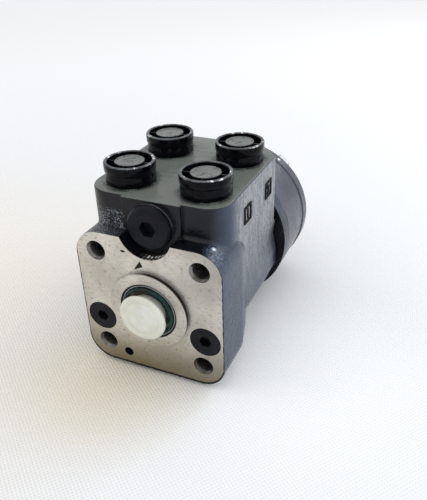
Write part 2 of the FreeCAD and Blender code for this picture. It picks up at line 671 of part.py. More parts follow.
def cover_fasteners():
    """Seven hexagon screws, each over a sealing washer."""
    head_front = cover_rear.value + d.washer_thickness.value
    tip = d.housing_length.value - d.screw_grip.value + 0.4
    head_end = head_front + d.screw_head_height.value
    screws, washers = [], []
    for x, z in around(ring_lobes, screw_circle):
        corner = d.screw_head_flats.value * HEX_CORNER / 2.0
        outward = math.degrees(math.atan2(z, x)) + 30.0
        corners = [Vector(x + corner * math.cos(math.radians(outward + 60 * i)), head_front,
                          z + corner * math.sin(math.radians(outward + 60 * i))) for i in range(7)]
        head = Part.Face(Part.makePolygon(corners)).extrude(Vector(0, head_end - head_front, 0))
        crown = Part.makeCone(corner + d.screw_head_height.value * 1.6, corner * 0.86,
                              d.screw_head_height.value, Vector(x, head_front, z), Vector(0, 1, 0))
        screws.append(head.common(crown).fuse(along_y(d.screw_radius, tip, head_front, x, z)).removeSplitter())
        washers.append(along_y(d.washer_radius, cover_rear, head_front, x, z).cut(
            along_y(d.screw_hole_radius, cover_rear, head_front, x, z)))
    plain_shape("end_cover_screws", Part.makeCompound(screws))
    plain_shape("screw_washers", Part.makeCompound(washers))


def round_seal(label, station, inward):
    """An O-ring lying in its groove, just clear of the joint's face."""
    centre = station.value + inward * d.cord_radius.value * 1.1
    ring = Part.makeTorus(seal_circle.value, d.cord_radius.value * 0.97, Vector(0, centre, 0), Vector(0, 1, 0))
    return plain_shape(label, ring)


# Spool, sleeve and their fittings

def control_sleeve():
    body = new_body("control_sleeve")
    outer = d.bore_radius - d.running_gap
    ring_seat = outer - d.retaining_ring_thickness
    half = d.retaining_ring_width / 2.0
    turn(body, [(d.sleeve_bore, sleeve_front), (outer, sleeve_front), (outer, d.spring_slot_y - half),
                (ring_seat, d.spring_slot_y - half), (ring_seat, d.spring_slot_y + half),
                (outer, d.spring_slot_y + half), (outer, sleeve_rear), (d.sleeve_bore, sleeve_rear)])
    slot = sketch(body, "YZ_Plane")
    rectangle(slot, d.spring_slot_y - d.spring_slot_width / 2.0, d.spring_slot_y + d.spring_slot_width / 2.0,
              -d.spring_slot_half_height, d.spring_slot_half_height)
    pocket_both(body, slot, d.bore_radius * 3.0)
    pocket_both(body, circle(sketch(body, "YZ_Plane"), d.pin_y, 0.0, d.pin_radius + d.running_gap / 2.0),
                d.bore_radius * 3.0)
    for i in range(int(d.gallery_count.value)):
        station = d.gallery_first + gallery_pitch * float(i)
        port_hole = circle(sketch(body, "YZ_Plane"), station, 0.0, d.feed_radius * 0.8)
        hole = extrude(body, "Pocket", port_hole, d.bore_radius * 2.0, True)
        polar(body, hole, d.star_lobes * (2.0 if i % 2 == 0 else 1.0))
    return body


def control_spool():
    """The inner spool: a splined nose for the column, a hollow body, a slot for the cross pin."""
    body = new_body("control_spool")
    outer = d.sleeve_bore - d.running_gap
    nose = -d.spool_nose
    turn(body, [(d.spline_root, nose), (d.neck_radius, nose), (d.neck_radius, spool_shoulder),
                (outer, spool_shoulder), (outer, spool_rear), (d.spool_cavity, spool_rear),
                (d.spool_cavity, d.spline_depth), (d.spline_root, d.spline_depth)])
    tooth_half = d.spline_root * (math.pi / 2.0 / d.spline_teeth.value)
    tooth = face_sketch(body, nose)
    polygon(tooth, [(d.spline_tip, -tooth_half * 0.6), (d.spline_root + 1.0, -tooth_half),
                    (d.spline_root + 1.0, tooth_half), (d.spline_tip, tooth_half * 0.6)])
    polar(body, pad_back(body, tooth, d.spline_depth + d.spool_nose), d.spline_teeth)
    slot = sketch(body, "YZ_Plane")
    rectangle(slot, d.spring_slot_y - d.spring_slot_width / 2.0, d.spring_slot_y + d.spring_slot_width / 2.0,
              -d.spring_slot_half_height, d.spring_slot_half_height)
    pocket_both(body, slot, d.bore_radius * 3.0)
    swing = d.sleeve_bore * math.sin(math.radians(d.spool_travel.value)) + d.pin_radius + 0.6
    window = sketch(body, "YZ_Plane")
    rectangle(window, d.pin_y - d.pin_radius - 0.2, d.pin_y + d.pin_radius + 0.2, -swing, swing)
    pocket_both(body, window, d.bore_radius * 3.0)
    flute = face_sketch(body, d.gallery_first)
    rectangle(flute, outer - 1.2, outer + 1.0, -d.feed_radius * 0.6, d.feed_radius * 0.6)
    polar(body, pocket_back(body, flute, gallery_pitch * 2.0), d.spline_teeth)
    return body


def cross_pin():
    body = new_body("cross_pin")
    half = d.bore_radius - d.running_gap * 2.0 - d.edge_round / 4.0
    turn(body, [(0.0, -half), (d.pin_radius, -half), (d.pin_radius, half), (0.0, half)])
    body.Placement = Placement(Vector(0, d.pin_y.value, 0), Rotation(Vector(0, 0, 1), 90))
    bind(body, "Placement.Base.y", d.pin_y)
    return body


def centring_springs():
    """Two flat and four bowed leaves, stacked through the slots of the spool and sleeve."""
    reach = d.bore_radius.value - d.running_gap.value - d.retaining_ring_thickness.value - 0.3
    width = d.spring_slot_width.value - 0.3
    leaf = d.leaf_thickness.value
    edge_height = d.spring_slot_half_height.value - 0.1
    leaves = []
    for level in (-1, 1):
        flat = Part.makeBox(2.0 * reach, width, leaf,
                            Vector(-reach, d.spring_slot_y.value - width / 2.0, -leaf / 2.0 + level * leaf * 0.6))
        leaves.append(flat)
        for order in (0, 1):
            low = leaf * (1.3 + 1.1 * order)
            high = edge_height - leaf * (1.0 + 1.1 * (1 - order))
            arc = Part.Arc(Vector(-reach, 0, level * high), Vector(0, 0, level * low),
                           Vector(reach, 0, level * high)).toShape()
            strip = arc.extrude(Vector(0, 0, level * leaf))
            bowed = strip.extrude(Vector(0, width, 0))
            bowed.translate(Vector(0, d.spring_slot_y.value - width / 2.0, 0))
            leaves.append(bowed)
    return plain_shape("centring_springs", Part.makeCompound(leaves))


def turned_ring(label, inner, outer, start, end):
    body = new_body(label)
    turn(body, [(inner, start), (outer, start), (outer, end), (inner, end)])
    return body


def front_bearing_and_seals():
    inner = d.neck_radius + d.seal_gap * 2.0
    outer = d.bore_radius - d.running_gap * 2.0
    cage_front = d.bearing_front + d.outer_race_thickness
    cage_rear = cage_front + d.needle_radius * 2.0
    turned_ring("bearing_outer_race", inner, outer, d.bearing_front, cage_front)
    turned_ring("bearing_inner_race", inner, outer - d.seal_gap * 3.0, cage_rear, sleeve_front)
    middle = (cage_front.value + cage_rear.value) / 2.0
    gap = d.running_gap.value
    needle = Part.makeCylinder(d.needle_radius.value - gap, (outer - inner).value - 1.2,
                               Vector(inner.value + 0.6, middle, 0), Vector(1, 0, 0))
    cage = along_y(outer - 0.3, middle - 0.6, middle + 0.6).cut(along_y(inner + 0.2, middle - 1, middle + 1))
    rollers = []
    for i in range(int(d.needle_count.value)):
        copy = needle.copy()
        copy.rotate(Vector(0, middle, 0), Vector(0, 1, 0), FULL_TURN * i / d.needle_count.value)
        rollers.append(copy)
    plain_shape("needle_cage", cage.fuse(rollers))

    seal_inner = d.neck_radius + d.seal_gap
    seal = new_body("shaft_seal")
    seal_front, seal_rear = d.lip_depth + d.seal_gap, d.bearing_front - d.seal_gap
    turn(seal, [(seal_inner, seal_front), (d.seal_pocket_radius - d.seal_gap, seal_front),
                (d.seal_pocket_radius - d.seal_gap, seal_rear), (d.neck_radius + 1.2, seal_rear),
                (seal_inner, seal_rear - 1.2)])
    wiper = new_body("dust_seal")
    wiper_front = -d.pilot_height + 0.4
    turn(wiper, [(seal_inner, wiper_front + 0.9), (seal_inner + 0.9, wiper_front),
                 (d.dust_seat_radius - 0.4, wiper_front), (d.dust_seat_radius, wiper_front + 0.4),
                 (d.dust_seat_radius, d.dust_seat_depth), (d.lip_radius + 0.2, d.dust_seat_depth),
                 (seal_inner, d.dust_seat_depth - 0.5)])


def retaining_ring():
    outer = d.bore_radius - d.running_gap * 1.6
    inner = d.bore_radius - d.running_gap - d.retaining_ring_thickness + 0.02
    half = d.retaining_ring_width / 2.0 - d.running_gap
    return turned_ring("spring_retaining_ring", inner, outer, d.spring_slot_y - half, d.spring_slot_y + half)


# Valves

def socket_plug(label, points, flats, socket_depth, face, across, up):
    """A turned plug along the shaft direction with a hexagon socket in its outer face."""
    body = new_body(label)
    turn(body, points)
    pocket_back(body, hexagon(face_sketch(body, face), as_size(0.0), as_size(0.0), flats), socket_depth)
    bind(body, "Placement.Base.x", across)
    bind(body, "Placement.Base.z", up)
    return body


def turned_at(label, points, across, up):
    body = new_body(label)
    turn(body, points)
    bind(body, "Placement.Base.x", across)
    bind(body, "Placement.Base.z", up)
    return body


def valve_seat(label, radius, bore, mouth, start, end, across, up):
    slope = mouth - bore
    return turned_at(label, [(mouth, start), (radius, start), (radius, end), (bore, end), (bore, start + slope)],
                     across, up)


def valve_poppet(label, radius, length, mouth, seat_front, across, up):
    """A cone-nosed poppet whose 45 degree cone rests in the mouth of its seat."""
    shoulder = seat_front - (radius - mouth) - d.running_gap
    tip = 1.0
    return turned_at(label, [(0.0, shoulder - length), (radius, shoulder - length), (radius, shoulder),
                             (tip, shoulder + radius - tip), (0.0, shoulder + radius - tip)], across, up)


def relief_valve():
    head, z = d.relief_head_front, d.relief_z
    washer_end = d.relief_boss_front
    head_end = washer_end - d.relief_washer_thickness
    thread = d.relief_thread_radius - d.running_gap
    bevel = d.edge_round
    socket_plug("relief_plug",
                [(0.0, head), (d.relief_head_radius - bevel, head), (d.relief_head_radius, head + bevel),
                 (d.relief_head_radius, head_end), (thread, head_end), (thread, d.relief_thread_depth - 0.5),
                 (0.0, d.relief_thread_depth - 0.5)],
                d.relief_socket_flats, d.relief_socket_depth, head, as_size(0.0), z)
    turned_at("relief_plug_washer", [(thread + 0.1, head_end), (d.relief_head_radius, head_end),
                                     (d.relief_head_radius, washer_end), (thread + 0.1, washer_end)],
              as_size(0.0), z)
    radius = d.relief_bore_radius - d.running_gap
    adjuster_end = d.adjuster_front + d.adjuster_length
    socket_plug("relief_adjuster", [(0.0, d.adjuster_front), (radius, d.adjuster_front), (radius, adjuster_end),
                                    (0.0, adjuster_end)],
                d.adjuster_socket_flats, d.relief_socket_depth / 2.0, d.adjuster_front, as_size(0.0), z)
    seat_front = d.relief_bore_depth - d.relief_seat_length
    valve_seat("relief_seat", radius, d.relief_seat_bore, d.relief_mouth_radius, seat_front,
               d.relief_bore_depth, as_size(0.0), z)
    valve_poppet("relief_poppet", d.relief_poppet_radius, d.relief_poppet_length, d.relief_mouth_radius,
                 seat_front, as_size(0.0), z)
    poppet_back = (seat_front - (d.relief_poppet_radius - d.relief_mouth_radius) - d.running_gap
                   - d.relief_poppet_length)
    coil_spring("relief_spring", d.relief_wire, d.relief_poppet_radius - d.relief_wire * 1.2,
                adjuster_end, poppet_back, d.relief_coils, 0.0, z)


def shock_valve(side, name):
    x, z = d.shock_x * side, -d.shock_z
    bevel = d.edge_round / 3.0
    face = d.shock_plug_face
    plug = d.shock_plug_radius
    socket_plug("shock_plug_" + name,
                [(0.0, face), (plug - bevel, face), (plug, face + bevel), (plug, d.shock_plug_depth),
                 (d.shock_bore_radius - d.running_gap, d.shock_plug_depth),
                 (d.shock_bore_radius - d.running_gap, d.shock_plug_depth + 4.0), (0.0, d.shock_plug_depth + 4.0)],
                d.shock_socket_flats, d.shock_socket_depth, face, x, z)
    seat_front = d.shock_bore_depth - d.shock_seat_length
    valve_seat("shock_seat_" + name, d.shock_bore_radius - d.running_gap, d.shock_seat_bore,
               d.shock_mouth_radius, seat_front, d.shock_bore_depth, x, z)
    valve_poppet("shock_poppet_" + name, d.shock_poppet_radius, d.shock_poppet_length, d.shock_mouth_radius,
                 seat_front, x, z)
    poppet_back = (seat_front - (d.shock_poppet_radius - d.shock_mouth_radius) - d.running_gap
                   - d.shock_poppet_length)
    coil_spring("shock_spring_" + name, d.shock_wire, d.shock_poppet_radius - d.shock_wire * 1.2,
                d.shock_plug_depth + 4.0, poppet_back, d.shock_coils, x, z)


def suction_valve(place, name):
    """A loose ball kept in its bore by a short pin."""
    across, up = place
    ball_y = (d.housing_length - suction_depth + d.suction_ball_radius + d.running_gap).value
    ball = Part.makeSphere(d.suction_ball_radius.value, Vector(across.value, ball_y, up.value))
    plain_shape("suction_ball_" + name, ball)
    end = (d.housing_length - d.suction_pin_sink).value
    low = up.value - d.suction_bore_radius.value + d.suction_pin_radius.value + 0.05
    plain_shape("suction_pin_" + name,
                along_y(d.suction_pin_radius, end - d.suction_pin_length.value, end, across, low))


def check_valve():
    body = new_body("check_bushing")
    top = d.block_top - d.port_depth
    foot = top - d.check_bushing_length
    radius = d.check_bushing_radius - d.running_gap
    mouth = d.check_bushing_bore + d.check_chamfer
    flat = sketch(body, "XZ_Plane")
    polygon(flat, [(d.check_bushing_bore, top), (radius, top), (radius, foot), (mouth, foot),
                   (d.check_bushing_bore, foot + d.check_chamfer)])
    spin(body, "Revolution", flat)
    bind(body, "Placement.Base.x", d.port_half_spacing)
    bind(body, "Placement.Base.y", port_rear)
    rest = (foot - check_drop - d.check_lift).value
    ball = Part.makeSphere(d.check_ball_radius.value, Vector(d.port_half_spacing.value, port_rear.value, rest))
    plain_shape("check_ball", ball)


# Closures

def port_plug(name, side, station):
    body = new_body("port_plug_" + name)
    base, stem = d.block_top, d.port_tap_radius - d.plug_stem_gap
    foot = base - d.plug_stem_length
    neck = base + d.plug_base_height
    recess_floor = head_top - d.plug_recess_depth
    bevel = d.edge_round / 2.0
    flat = sketch(body, "XZ_Plane")
    polygon(flat, [(0.0, recess_floor - 1.5), (d.plug_stem_bore, recess_floor - 1.5), (d.plug_stem_bore, foot),
                   (stem - bevel, foot), (stem, foot + bevel), (stem, base), (d.plug_radius, base),
                   (d.plug_radius, neck), (d.plug_neck_radius, neck + d.plug_neck_height / 2.0),
                   (d.plug_radius, neck + d.plug_neck_height), (d.plug_radius, head_top - bevel),
                   (d.plug_radius - bevel, head_top), (0.0, head_top)])
    spin(body, "Revolution", flat)
    ring = sketch(body, "XZ_Plane")
    rectangle(ring, d.plug_disc_radius, d.plug_rim_inner, recess_floor, head_top)
    spin(body, "Groove", ring)
    top = circle(sketch(body, "XY_Plane", head_top), 0.0, 0.0, d.plug_disc_radius + 0.5)
    pocket_down(body, top, d.plug_disc_drop)
    half, reach = d.plug_spoke_width / 2.0, d.plug_rim_inner + 0.4
    spoke_top = head_top - d.plug_disc_drop * 1.6
    for across, up in ((reach, half), (half, reach)):
        spoke = rectangle(sketch(body, "XY_Plane", recess_floor - 0.5), -across, across, -up, up)
        extrude(body, "Pad", spoke, spoke_top - recess_floor + 0.5, False)
    bind(body, "Placement.Base.x", d.port_half_spacing * side)
    bind(body, "Placement.Base.y", station)
    return body


def shaft_cap():
    """A soft plastic cap: a flanged head with ringed face and a hollow stem in the splined bore."""
    body = new_body("shaft_cap")
    rear = -d.spool_nose
    front = rear - d.cap_thickness
    stem = d.spline_tip - d.plug_stem_gap
    stem_end = rear + d.cap_stem_length
    bevel = d.edge_round / 2.0
    recess = front + d.cap_recess
    turn(body, [(0.0, recess), (d.cap_centre_radius, recess), (d.cap_centre_radius, front),
                (d.cap_ring_radius - 0.6, front), (d.cap_ring_radius - 0.3, recess), (d.cap_ring_radius, front),
                (d.cap_radius - bevel, front), (d.cap_radius, front + bevel),
                (d.cap_radius, front + d.cap_flange), (d.cap_neck_radius, front + d.cap_flange),
                (d.cap_neck_radius, rear), (stem, rear), (stem, stem_end - bevel), (stem - bevel, stem_end),
                (stem - d.cap_wall, stem_end), (stem - d.cap_wall, recess + d.cap_wall),
                (0.0, recess + d.cap_wall)])
    return body


housing()
distributor_plate()
gear_ring()
gear_star()
limiter_disc()
drive_shaft()
end_cover()
cover_fasteners()
round_seal("housing_seal", plate_front, -1.0)
round_seal("plate_seal", ring_front, -1.0)
round_seal("cover_seal", cover_front, 1.0)
control_sleeve()
control_spool()
cross_pin()
centring_springs()
retaining_ring()
front_bearing_and_seals()
relief_valve()
for side, name in ((-1.0, "left"), (1.0, "right")):
    shock_valve(side, name)
for place, name in zip(suction_places(), ("right", "left")):
    suction_valve(place, name)
check_valve()
for side, column in ((-1.0, "left"), (1.0, "right")):
    for station, line in ((d.port_front_y, "front"), (port_rear, "rear")):
        port_plug(f"{line}_{column}", side, station)
shaft_cap()
doc.recompute()

bad = [item.Label for item in doc.Objects if "Invalid" in item.State or "Error" in item.State]
if bad:
    raise RuntimeError("failed objects: " + ", ".join(bad))
pieces = [item for item in doc.Objects if item.isDerivedFrom("PartDesign::Body") or item.TypeId == "Part::Feature"]
for piece in pieces:
    if piece.Shape.isNull() or not piece.Shape.isValid():
        raise RuntimeError(piece.Label + " has no valid shape")
os.makedirs("parts", exist_ok=True)
for piece in pieces:
    piece.Shape.exportStep(f"parts/{piece.Label}.step")
print(len(pieces), "pieces written")
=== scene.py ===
# %% [markdown]
# An orbital steering unit in Blender
#
# A steering unit is a rotary valve and a small gear pump in one cast iron housing. The steering column
# bolts to its square machined face, four hoses screw into its top, and a round gear set closes the far
# end. The solids come from a CAD model that is loaded as a fixed frame. This lesson gives them skins,
# finishes, and the small pieces that CAD leaves out, and then lights them as in a studio.

# %% Load the frame
import bpy
import json
import math
from mathutils import Euler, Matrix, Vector

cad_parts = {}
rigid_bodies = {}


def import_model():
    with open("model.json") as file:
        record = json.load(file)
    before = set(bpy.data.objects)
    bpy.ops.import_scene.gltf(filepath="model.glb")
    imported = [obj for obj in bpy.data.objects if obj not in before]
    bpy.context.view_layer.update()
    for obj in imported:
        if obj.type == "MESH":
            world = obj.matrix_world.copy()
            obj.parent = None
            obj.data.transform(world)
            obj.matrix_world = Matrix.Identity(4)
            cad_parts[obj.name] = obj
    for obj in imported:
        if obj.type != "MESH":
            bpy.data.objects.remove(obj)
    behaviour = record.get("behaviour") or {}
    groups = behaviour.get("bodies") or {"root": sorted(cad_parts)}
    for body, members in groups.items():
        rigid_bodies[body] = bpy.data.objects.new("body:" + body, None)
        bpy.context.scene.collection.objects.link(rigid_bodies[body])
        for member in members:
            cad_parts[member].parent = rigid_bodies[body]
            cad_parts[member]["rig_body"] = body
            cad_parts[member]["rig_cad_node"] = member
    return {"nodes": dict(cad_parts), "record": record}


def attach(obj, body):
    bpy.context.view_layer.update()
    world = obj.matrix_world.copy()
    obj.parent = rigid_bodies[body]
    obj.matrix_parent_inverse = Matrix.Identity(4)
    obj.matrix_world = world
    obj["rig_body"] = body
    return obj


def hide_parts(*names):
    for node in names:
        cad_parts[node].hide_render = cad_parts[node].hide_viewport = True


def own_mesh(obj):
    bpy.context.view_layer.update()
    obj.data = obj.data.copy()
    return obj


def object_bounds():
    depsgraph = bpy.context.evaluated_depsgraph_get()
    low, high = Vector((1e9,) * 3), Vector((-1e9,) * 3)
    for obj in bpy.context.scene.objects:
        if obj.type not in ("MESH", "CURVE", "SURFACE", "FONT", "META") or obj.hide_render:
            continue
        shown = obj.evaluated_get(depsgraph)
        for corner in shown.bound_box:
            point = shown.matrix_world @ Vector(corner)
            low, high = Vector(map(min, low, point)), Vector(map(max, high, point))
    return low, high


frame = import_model()
cad_low, cad_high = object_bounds()
nodes = frame["nodes"]
record = frame["record"]
body_of = {node: body for body, members in record["behaviour"]["bodies"].items() for node in members}
slot_of = {part["node"]: part["material_slot"] for part in record["subparts"]}
mm = 0.001
print("loaded", len(nodes), "nodes, box", [round(v, 4) for v in cad_low], [round(v, 4) for v in cad_high])

# %% [markdown]
# The CAD sizes this lesson refers to
#
# Pieces that are modelled here must meet the CAD solids exactly, so the sizes they share with it are
# named once. They are in millimetres, as on a drawing, and multiplied by mm where they are used. The
# shaft runs along Y from the machined face at Y = 0, X goes across to the label face, and Z goes up.

# %% Shared sizes
half_bolt_span = 29.168
block_top = 58.2
label_face = 38.0
port_across = 21.34
port_rows = {"front": 28.0, "rear": 72.5}
relief_height = 44.8
spot_radius = 14.9
spot_depth = 8.5
pilot_radius = 22.2
face_half_across = 41.2
face_half_up = 40.9
face_corner = 14.0
frame_height = 43.2
frame_places = {"front": 41.0, "rear": 72.5}
bolt_circle = 2.0 * math.hypot(half_bolt_span, half_bolt_span)
print("the bolt holes lie on a circle of", round(bolt_circle, 1), "mm")

# %% [markdown]
# Node helpers
#
# A finish is a small graph of nodes. Building each node by hand takes many lines, so one helper adds a
# node, sets its options, and wires or fills its sockets. The others add the few nodes that this lesson
# uses again and again. Patterns read the piece's own coordinates, in metres, so that they stay put when
# the camera moves.

# %% Helpers for finishes
def add(tree, kind, inputs=None, **options):
    node = tree.nodes.new("ShaderNode" + kind)
    for option, value in options.items():
        setattr(node, option, value)
    for socket, value in (inputs or {}).items():
        if isinstance(value, bpy.types.NodeSocket):
            tree.links.new(value, node.inputs[socket])
        else:
            node.inputs[socket].default_value = value
    return node


def new_finish(name, colour, roughness, metallic=0.0):
    finish = bpy.data.materials.new(name)
    finish.use_nodes = True
    shader = finish.node_tree.nodes["Principled BSDF"]
    shader.inputs["Base Color"].default_value = (*colour, 1.0)
    shader.inputs["Roughness"].default_value = roughness
    shader.inputs["Metallic"].default_value = metallic
    return finish, finish.node_tree, shader


def own_place(tree):
    return add(tree, "TexCoord").outputs["Object"]


def own_axes(tree, place):
    parts = add(tree, "SeparateXYZ", {"Vector": place})
    return parts.outputs[0], parts.outputs[1], parts.outputs[2]


def stored(tree, name):
    return add(tree, "Attribute", attribute_name=name).outputs["Fac"]


def noise(tree, place, scale, detail=3.0, stretch=None):
    if stretch is not None:
        place = add(tree, "Mapping", {"Vector": place, "Scale": stretch}).outputs["Vector"]
    return add(tree, "TexNoise", {"Vector": place, "Scale": scale, "Detail": detail}).outputs["Fac"]


def wire(tree, shader, colour, roughness=None, normal=None):
    """Links a finish's colour, roughness and normal; one that is left out keeps its plain value."""
    for socket, value in (("Base Color", colour), ("Roughness", roughness), ("Normal", normal)):
        if value is not None:
            tree.links.new(value, shader.inputs[socket])


def bumped(tree, height, strength, distance, edge=0.0004):
    """A bump over rounded edges: the Bevel node softens corners that CAD leaves sharp."""
    soft = add(tree, "Bevel", {"Radius": edge}, samples=6).outputs["Normal"]
    return add(tree, "Bump", {"Height": height, "Strength": strength, "Distance": distance,
                              "Normal": soft}).outputs["Normal"]

# %% [markdown]
# Sums and masks
#
# A mask is a number between zero and one at every point of a surface, and it says how much of a colour
# shows there. It could be painted by hand as a picture. Here it is worked out from the point's place
# instead, by nodes that add, multiply and compare, so it stays sharp at any distance.

# %% Helpers for masks
def maths(tree, operation, first, second=0.0):
    return add(tree, "Math", {0: first, 1: second}, operation=operation).outputs[0]


def plus(tree, first, second):
    return add(tree, "Math", {0: first, 1: second}, operation="ADD", use_clamp=True).outputs[0]


def times(tree, product, *factors):
    for factor in factors:
        product = maths(tree, "MULTIPLY", product, factor)
    return product


def length_of(tree, first, second):
    flat = add(tree, "CombineXYZ", {0: first, 1: second}).outputs[0]
    return add(tree, "VectorMath", {0: flat}, operation="LENGTH").outputs["Value"]


def ramp(tree, value, low, high, to_low=0.0, to_high=1.0):
    """Maps a stretch of a value to another stretch, held at both ends."""
    rule = add(tree, "MapRange", {"Value": value, "From Min": low, "From Max": high,
                                  "To Min": to_low, "To Max": to_high}, interpolation_type="SMOOTHSTEP")
    return rule.outputs["Result"]


def band(tree, value, places):
    """One between the middle two of four places in millimetres, falling to zero at the outer two."""
    start, low, high, end = (place * mm for place in places)
    return times(tree, ramp(tree, value, start, low), ramp(tree, value, end, high))


def near_to(tree, place, centre, reach, fade):
    """One within a reach of a place on the piece, falling to zero over a fade, in millimetres."""
    away = add(tree, "VectorMath", {0: place, 1: Vector(centre) * mm}, operation="DISTANCE").outputs["Value"]
    return ramp(tree, away, (reach + fade) * mm, reach * mm)


def blend_colour(tree, share, first, second):
    rule = add(tree, "Mix", {"Factor": share}, data_type="RGBA")
    for socket, value in ((rule.inputs[6], first), (rule.inputs[7], second)):
        if isinstance(value, bpy.types.NodeSocket):
            tree.links.new(value, socket)
        else:
            socket.default_value = (*value, 1.0)
    return rule.outputs[2]

# %% [markdown]
# Where the casting's paint differs
#
# The housing is sand cast and then painted in one coat, and its colour isn't the same all over. The upper
# left corner of the block shows the sand's grain, the label face gets a pale painted reflection, and the
# edge in front of the rear flange gets a painted highlight. Each place gets its own mask. How far a
# surface turns to the right can't be read from its place, so it is stored on the mesh later, under the
# name faces_right.

# %% Masks on the casting
sand_levels = (29, 34, 47, 50)
label_ends = (22, 32, 86, 88)
highlight_line = (84.1, 84.6, 85.2, 85.8)


def sand_corner(tree, across, along, up):
    sides = times(tree, ramp(tree, across, -13 * mm, -20 * mm), ramp(tree, along, 32 * mm, 16 * mm))
    return times(tree, sides, band(tree, up, sand_levels))


def label_zone(tree, across, along, up):
    right = ramp(tree, stored(tree, "faces_right"), 0.88, 0.99)
    flat = times(tree, right, ramp(tree, across, 30 * mm, 34 * mm), band(tree, along, label_ends))
    return times(tree, flat, ramp(tree, up, -16 * mm, 18 * mm))


# Where a painted highlight runs along the rear edge of the label face.
def edge_highlight_mask(tree, across, along, up):
    line = band(tree, along, highlight_line)
    return times(tree, line, ramp(tree, across, 36.6 * mm, 37.2 * mm), ramp(tree, up, 18 * mm, 30 * mm))

# %% [markdown]
# Black paint in layers
#
# The colour is made in layers, each blended over the last through its mask: the coat itself, a painted
# bluish sheen on the right flank, a pale painted reflection with streaks and specks on the label face, a
# painted highlight along one edge, and painted shade towards the lower rear. Then a layer can be changed
# by itself.

# %% Layers of the casting's paint
sheen_corner = (36.0, 6.0, 37.2)
corner_glint = (33.7, 8.4, 39.3)
plug_foot = 13.4
wet_and_shadow_width = 3.4


def flank_paint(tree, place, label, waves, peel):
    """The coat, a painted bluish sheen, the label face's pale painted reflection, a painted edge highlight,
    and painted shade towards the lower rear.
    """
    across, along, up = own_axes(tree, place)
    paint = blend_colour(tree, ramp(tree, waves, 0.3, 0.7), (0.003, 0.0035, 0.005), (0.007, 0.008, 0.012))
    # Painted bluish sheen, a painted reflection where the flank turns to the right.
    painted_sheen = times(tree, ramp(tree, stored(tree, "faces_right"), 0.25, 1.0),
                  ramp(tree, across, 15 * mm, 26 * mm), ramp(tree, waves, 0.2, 0.8, 0.7, 1.0))
    paint = blend_colour(tree, painted_sheen, paint, (0.052, 0.072, 0.108))

    # Pale painted reflection on the label face, lighter towards the top, with streaks and specks.
    streaks = noise(tree, place, 620.0, 4.0, (1.0, 1.0, 0.16))
    specks = noise(tree, place, 1100.0, 2.5, (1.0, 1.0, 0.5))
    label_reflection = times(tree, label, ramp(tree, streaks, 0.36, 0.6, 0.5, 1.0),
                 ramp(tree, specks, 0.36, 0.46, 0.2, 1.0), ramp(tree, up, 5 * mm, 48 * mm, 0.72, 1.0))
    paint = blend_colour(tree, label_reflection, paint, (0.325, 0.335, 0.345))

    # A painted highlight along the rear edge of the label face, broken up by the peel noise.
    edge_highlight = times(tree, edge_highlight_mask(tree, across, along, up), ramp(tree, peel, 0.35, 0.6, 0.25, 0.8))
    paint = blend_colour(tree, edge_highlight, paint, (0.78, 0.80, 0.83))
    # Painted shade towards the lower rear, where the body turns into the rear flange.
    rear_shade = times(tree, ramp(tree, along, 75 * mm, 86 * mm), ramp(tree, up, 24 * mm, 10 * mm), 0.7)
    return blend_colour(tree, rear_shade, paint, (0.007, 0.008, 0.011))


def flange_corner(tree, paint, place, grain):
    """The flange's upper right corner: darker, with a mottled painted bluish sheen and one painted glint."""
    corner = near_to(tree, place, sheen_corner, 2.5, 6.0)
    paint = blend_colour(tree, times(tree, corner, 0.75), paint, (0.014, 0.022, 0.042))
    # A mottled painted bluish sheen over the corner.
    mottled_sheen = times(tree, corner, ramp(tree, noise(tree, place, 850.0, 3.0, (1.0, 1.0, 0.6)), 0.42, 0.62))
    paint = blend_colour(tree, mottled_sheen, paint, (0.10, 0.14, 0.205))
    # One painted glint.
    glint = times(tree, near_to(tree, place, corner_glint, 0.7, 1.2), ramp(tree, grain, 0.36, 0.48))
    return blend_colour(tree, glint, paint, (0.85, 0.90, 1.0))


def wet_and_shadow_rings(tree, paint, place, top, waves):
    """Dark rings on the top round each plug's foot: paint that looks wet, and painted shadow."""
    for along in port_rows.values():
        for across in (-port_across, port_across):
            # Painted shadow, with paint that looks wet, round the foot of each plug.
            foot = near_to(tree, place, (across, along, block_top), plug_foot, wet_and_shadow_width)
            wet_and_shadow = times(tree, foot, ramp(tree, waves, 0.36, 0.56, 0.15, 0.9), top)
            paint = blend_colour(tree, wet_and_shadow, paint, (0.010, 0.011, 0.012))
    return paint

# %% [markdown]
# The casting's finish
#
# The layers above are now put on the flank, the milled top, which is grey-green as a painted reflection
# of the pale sky, and the sandy corner, whose grains carry painted glints. Gloss and bump come from the
# same noise as the colour. The slow waves are the casting's own skin, the finer ones are the paint's
# orange peel, and the grain is strong in the sandy corner alone. One finish covers the casting, so it has
# no seam.

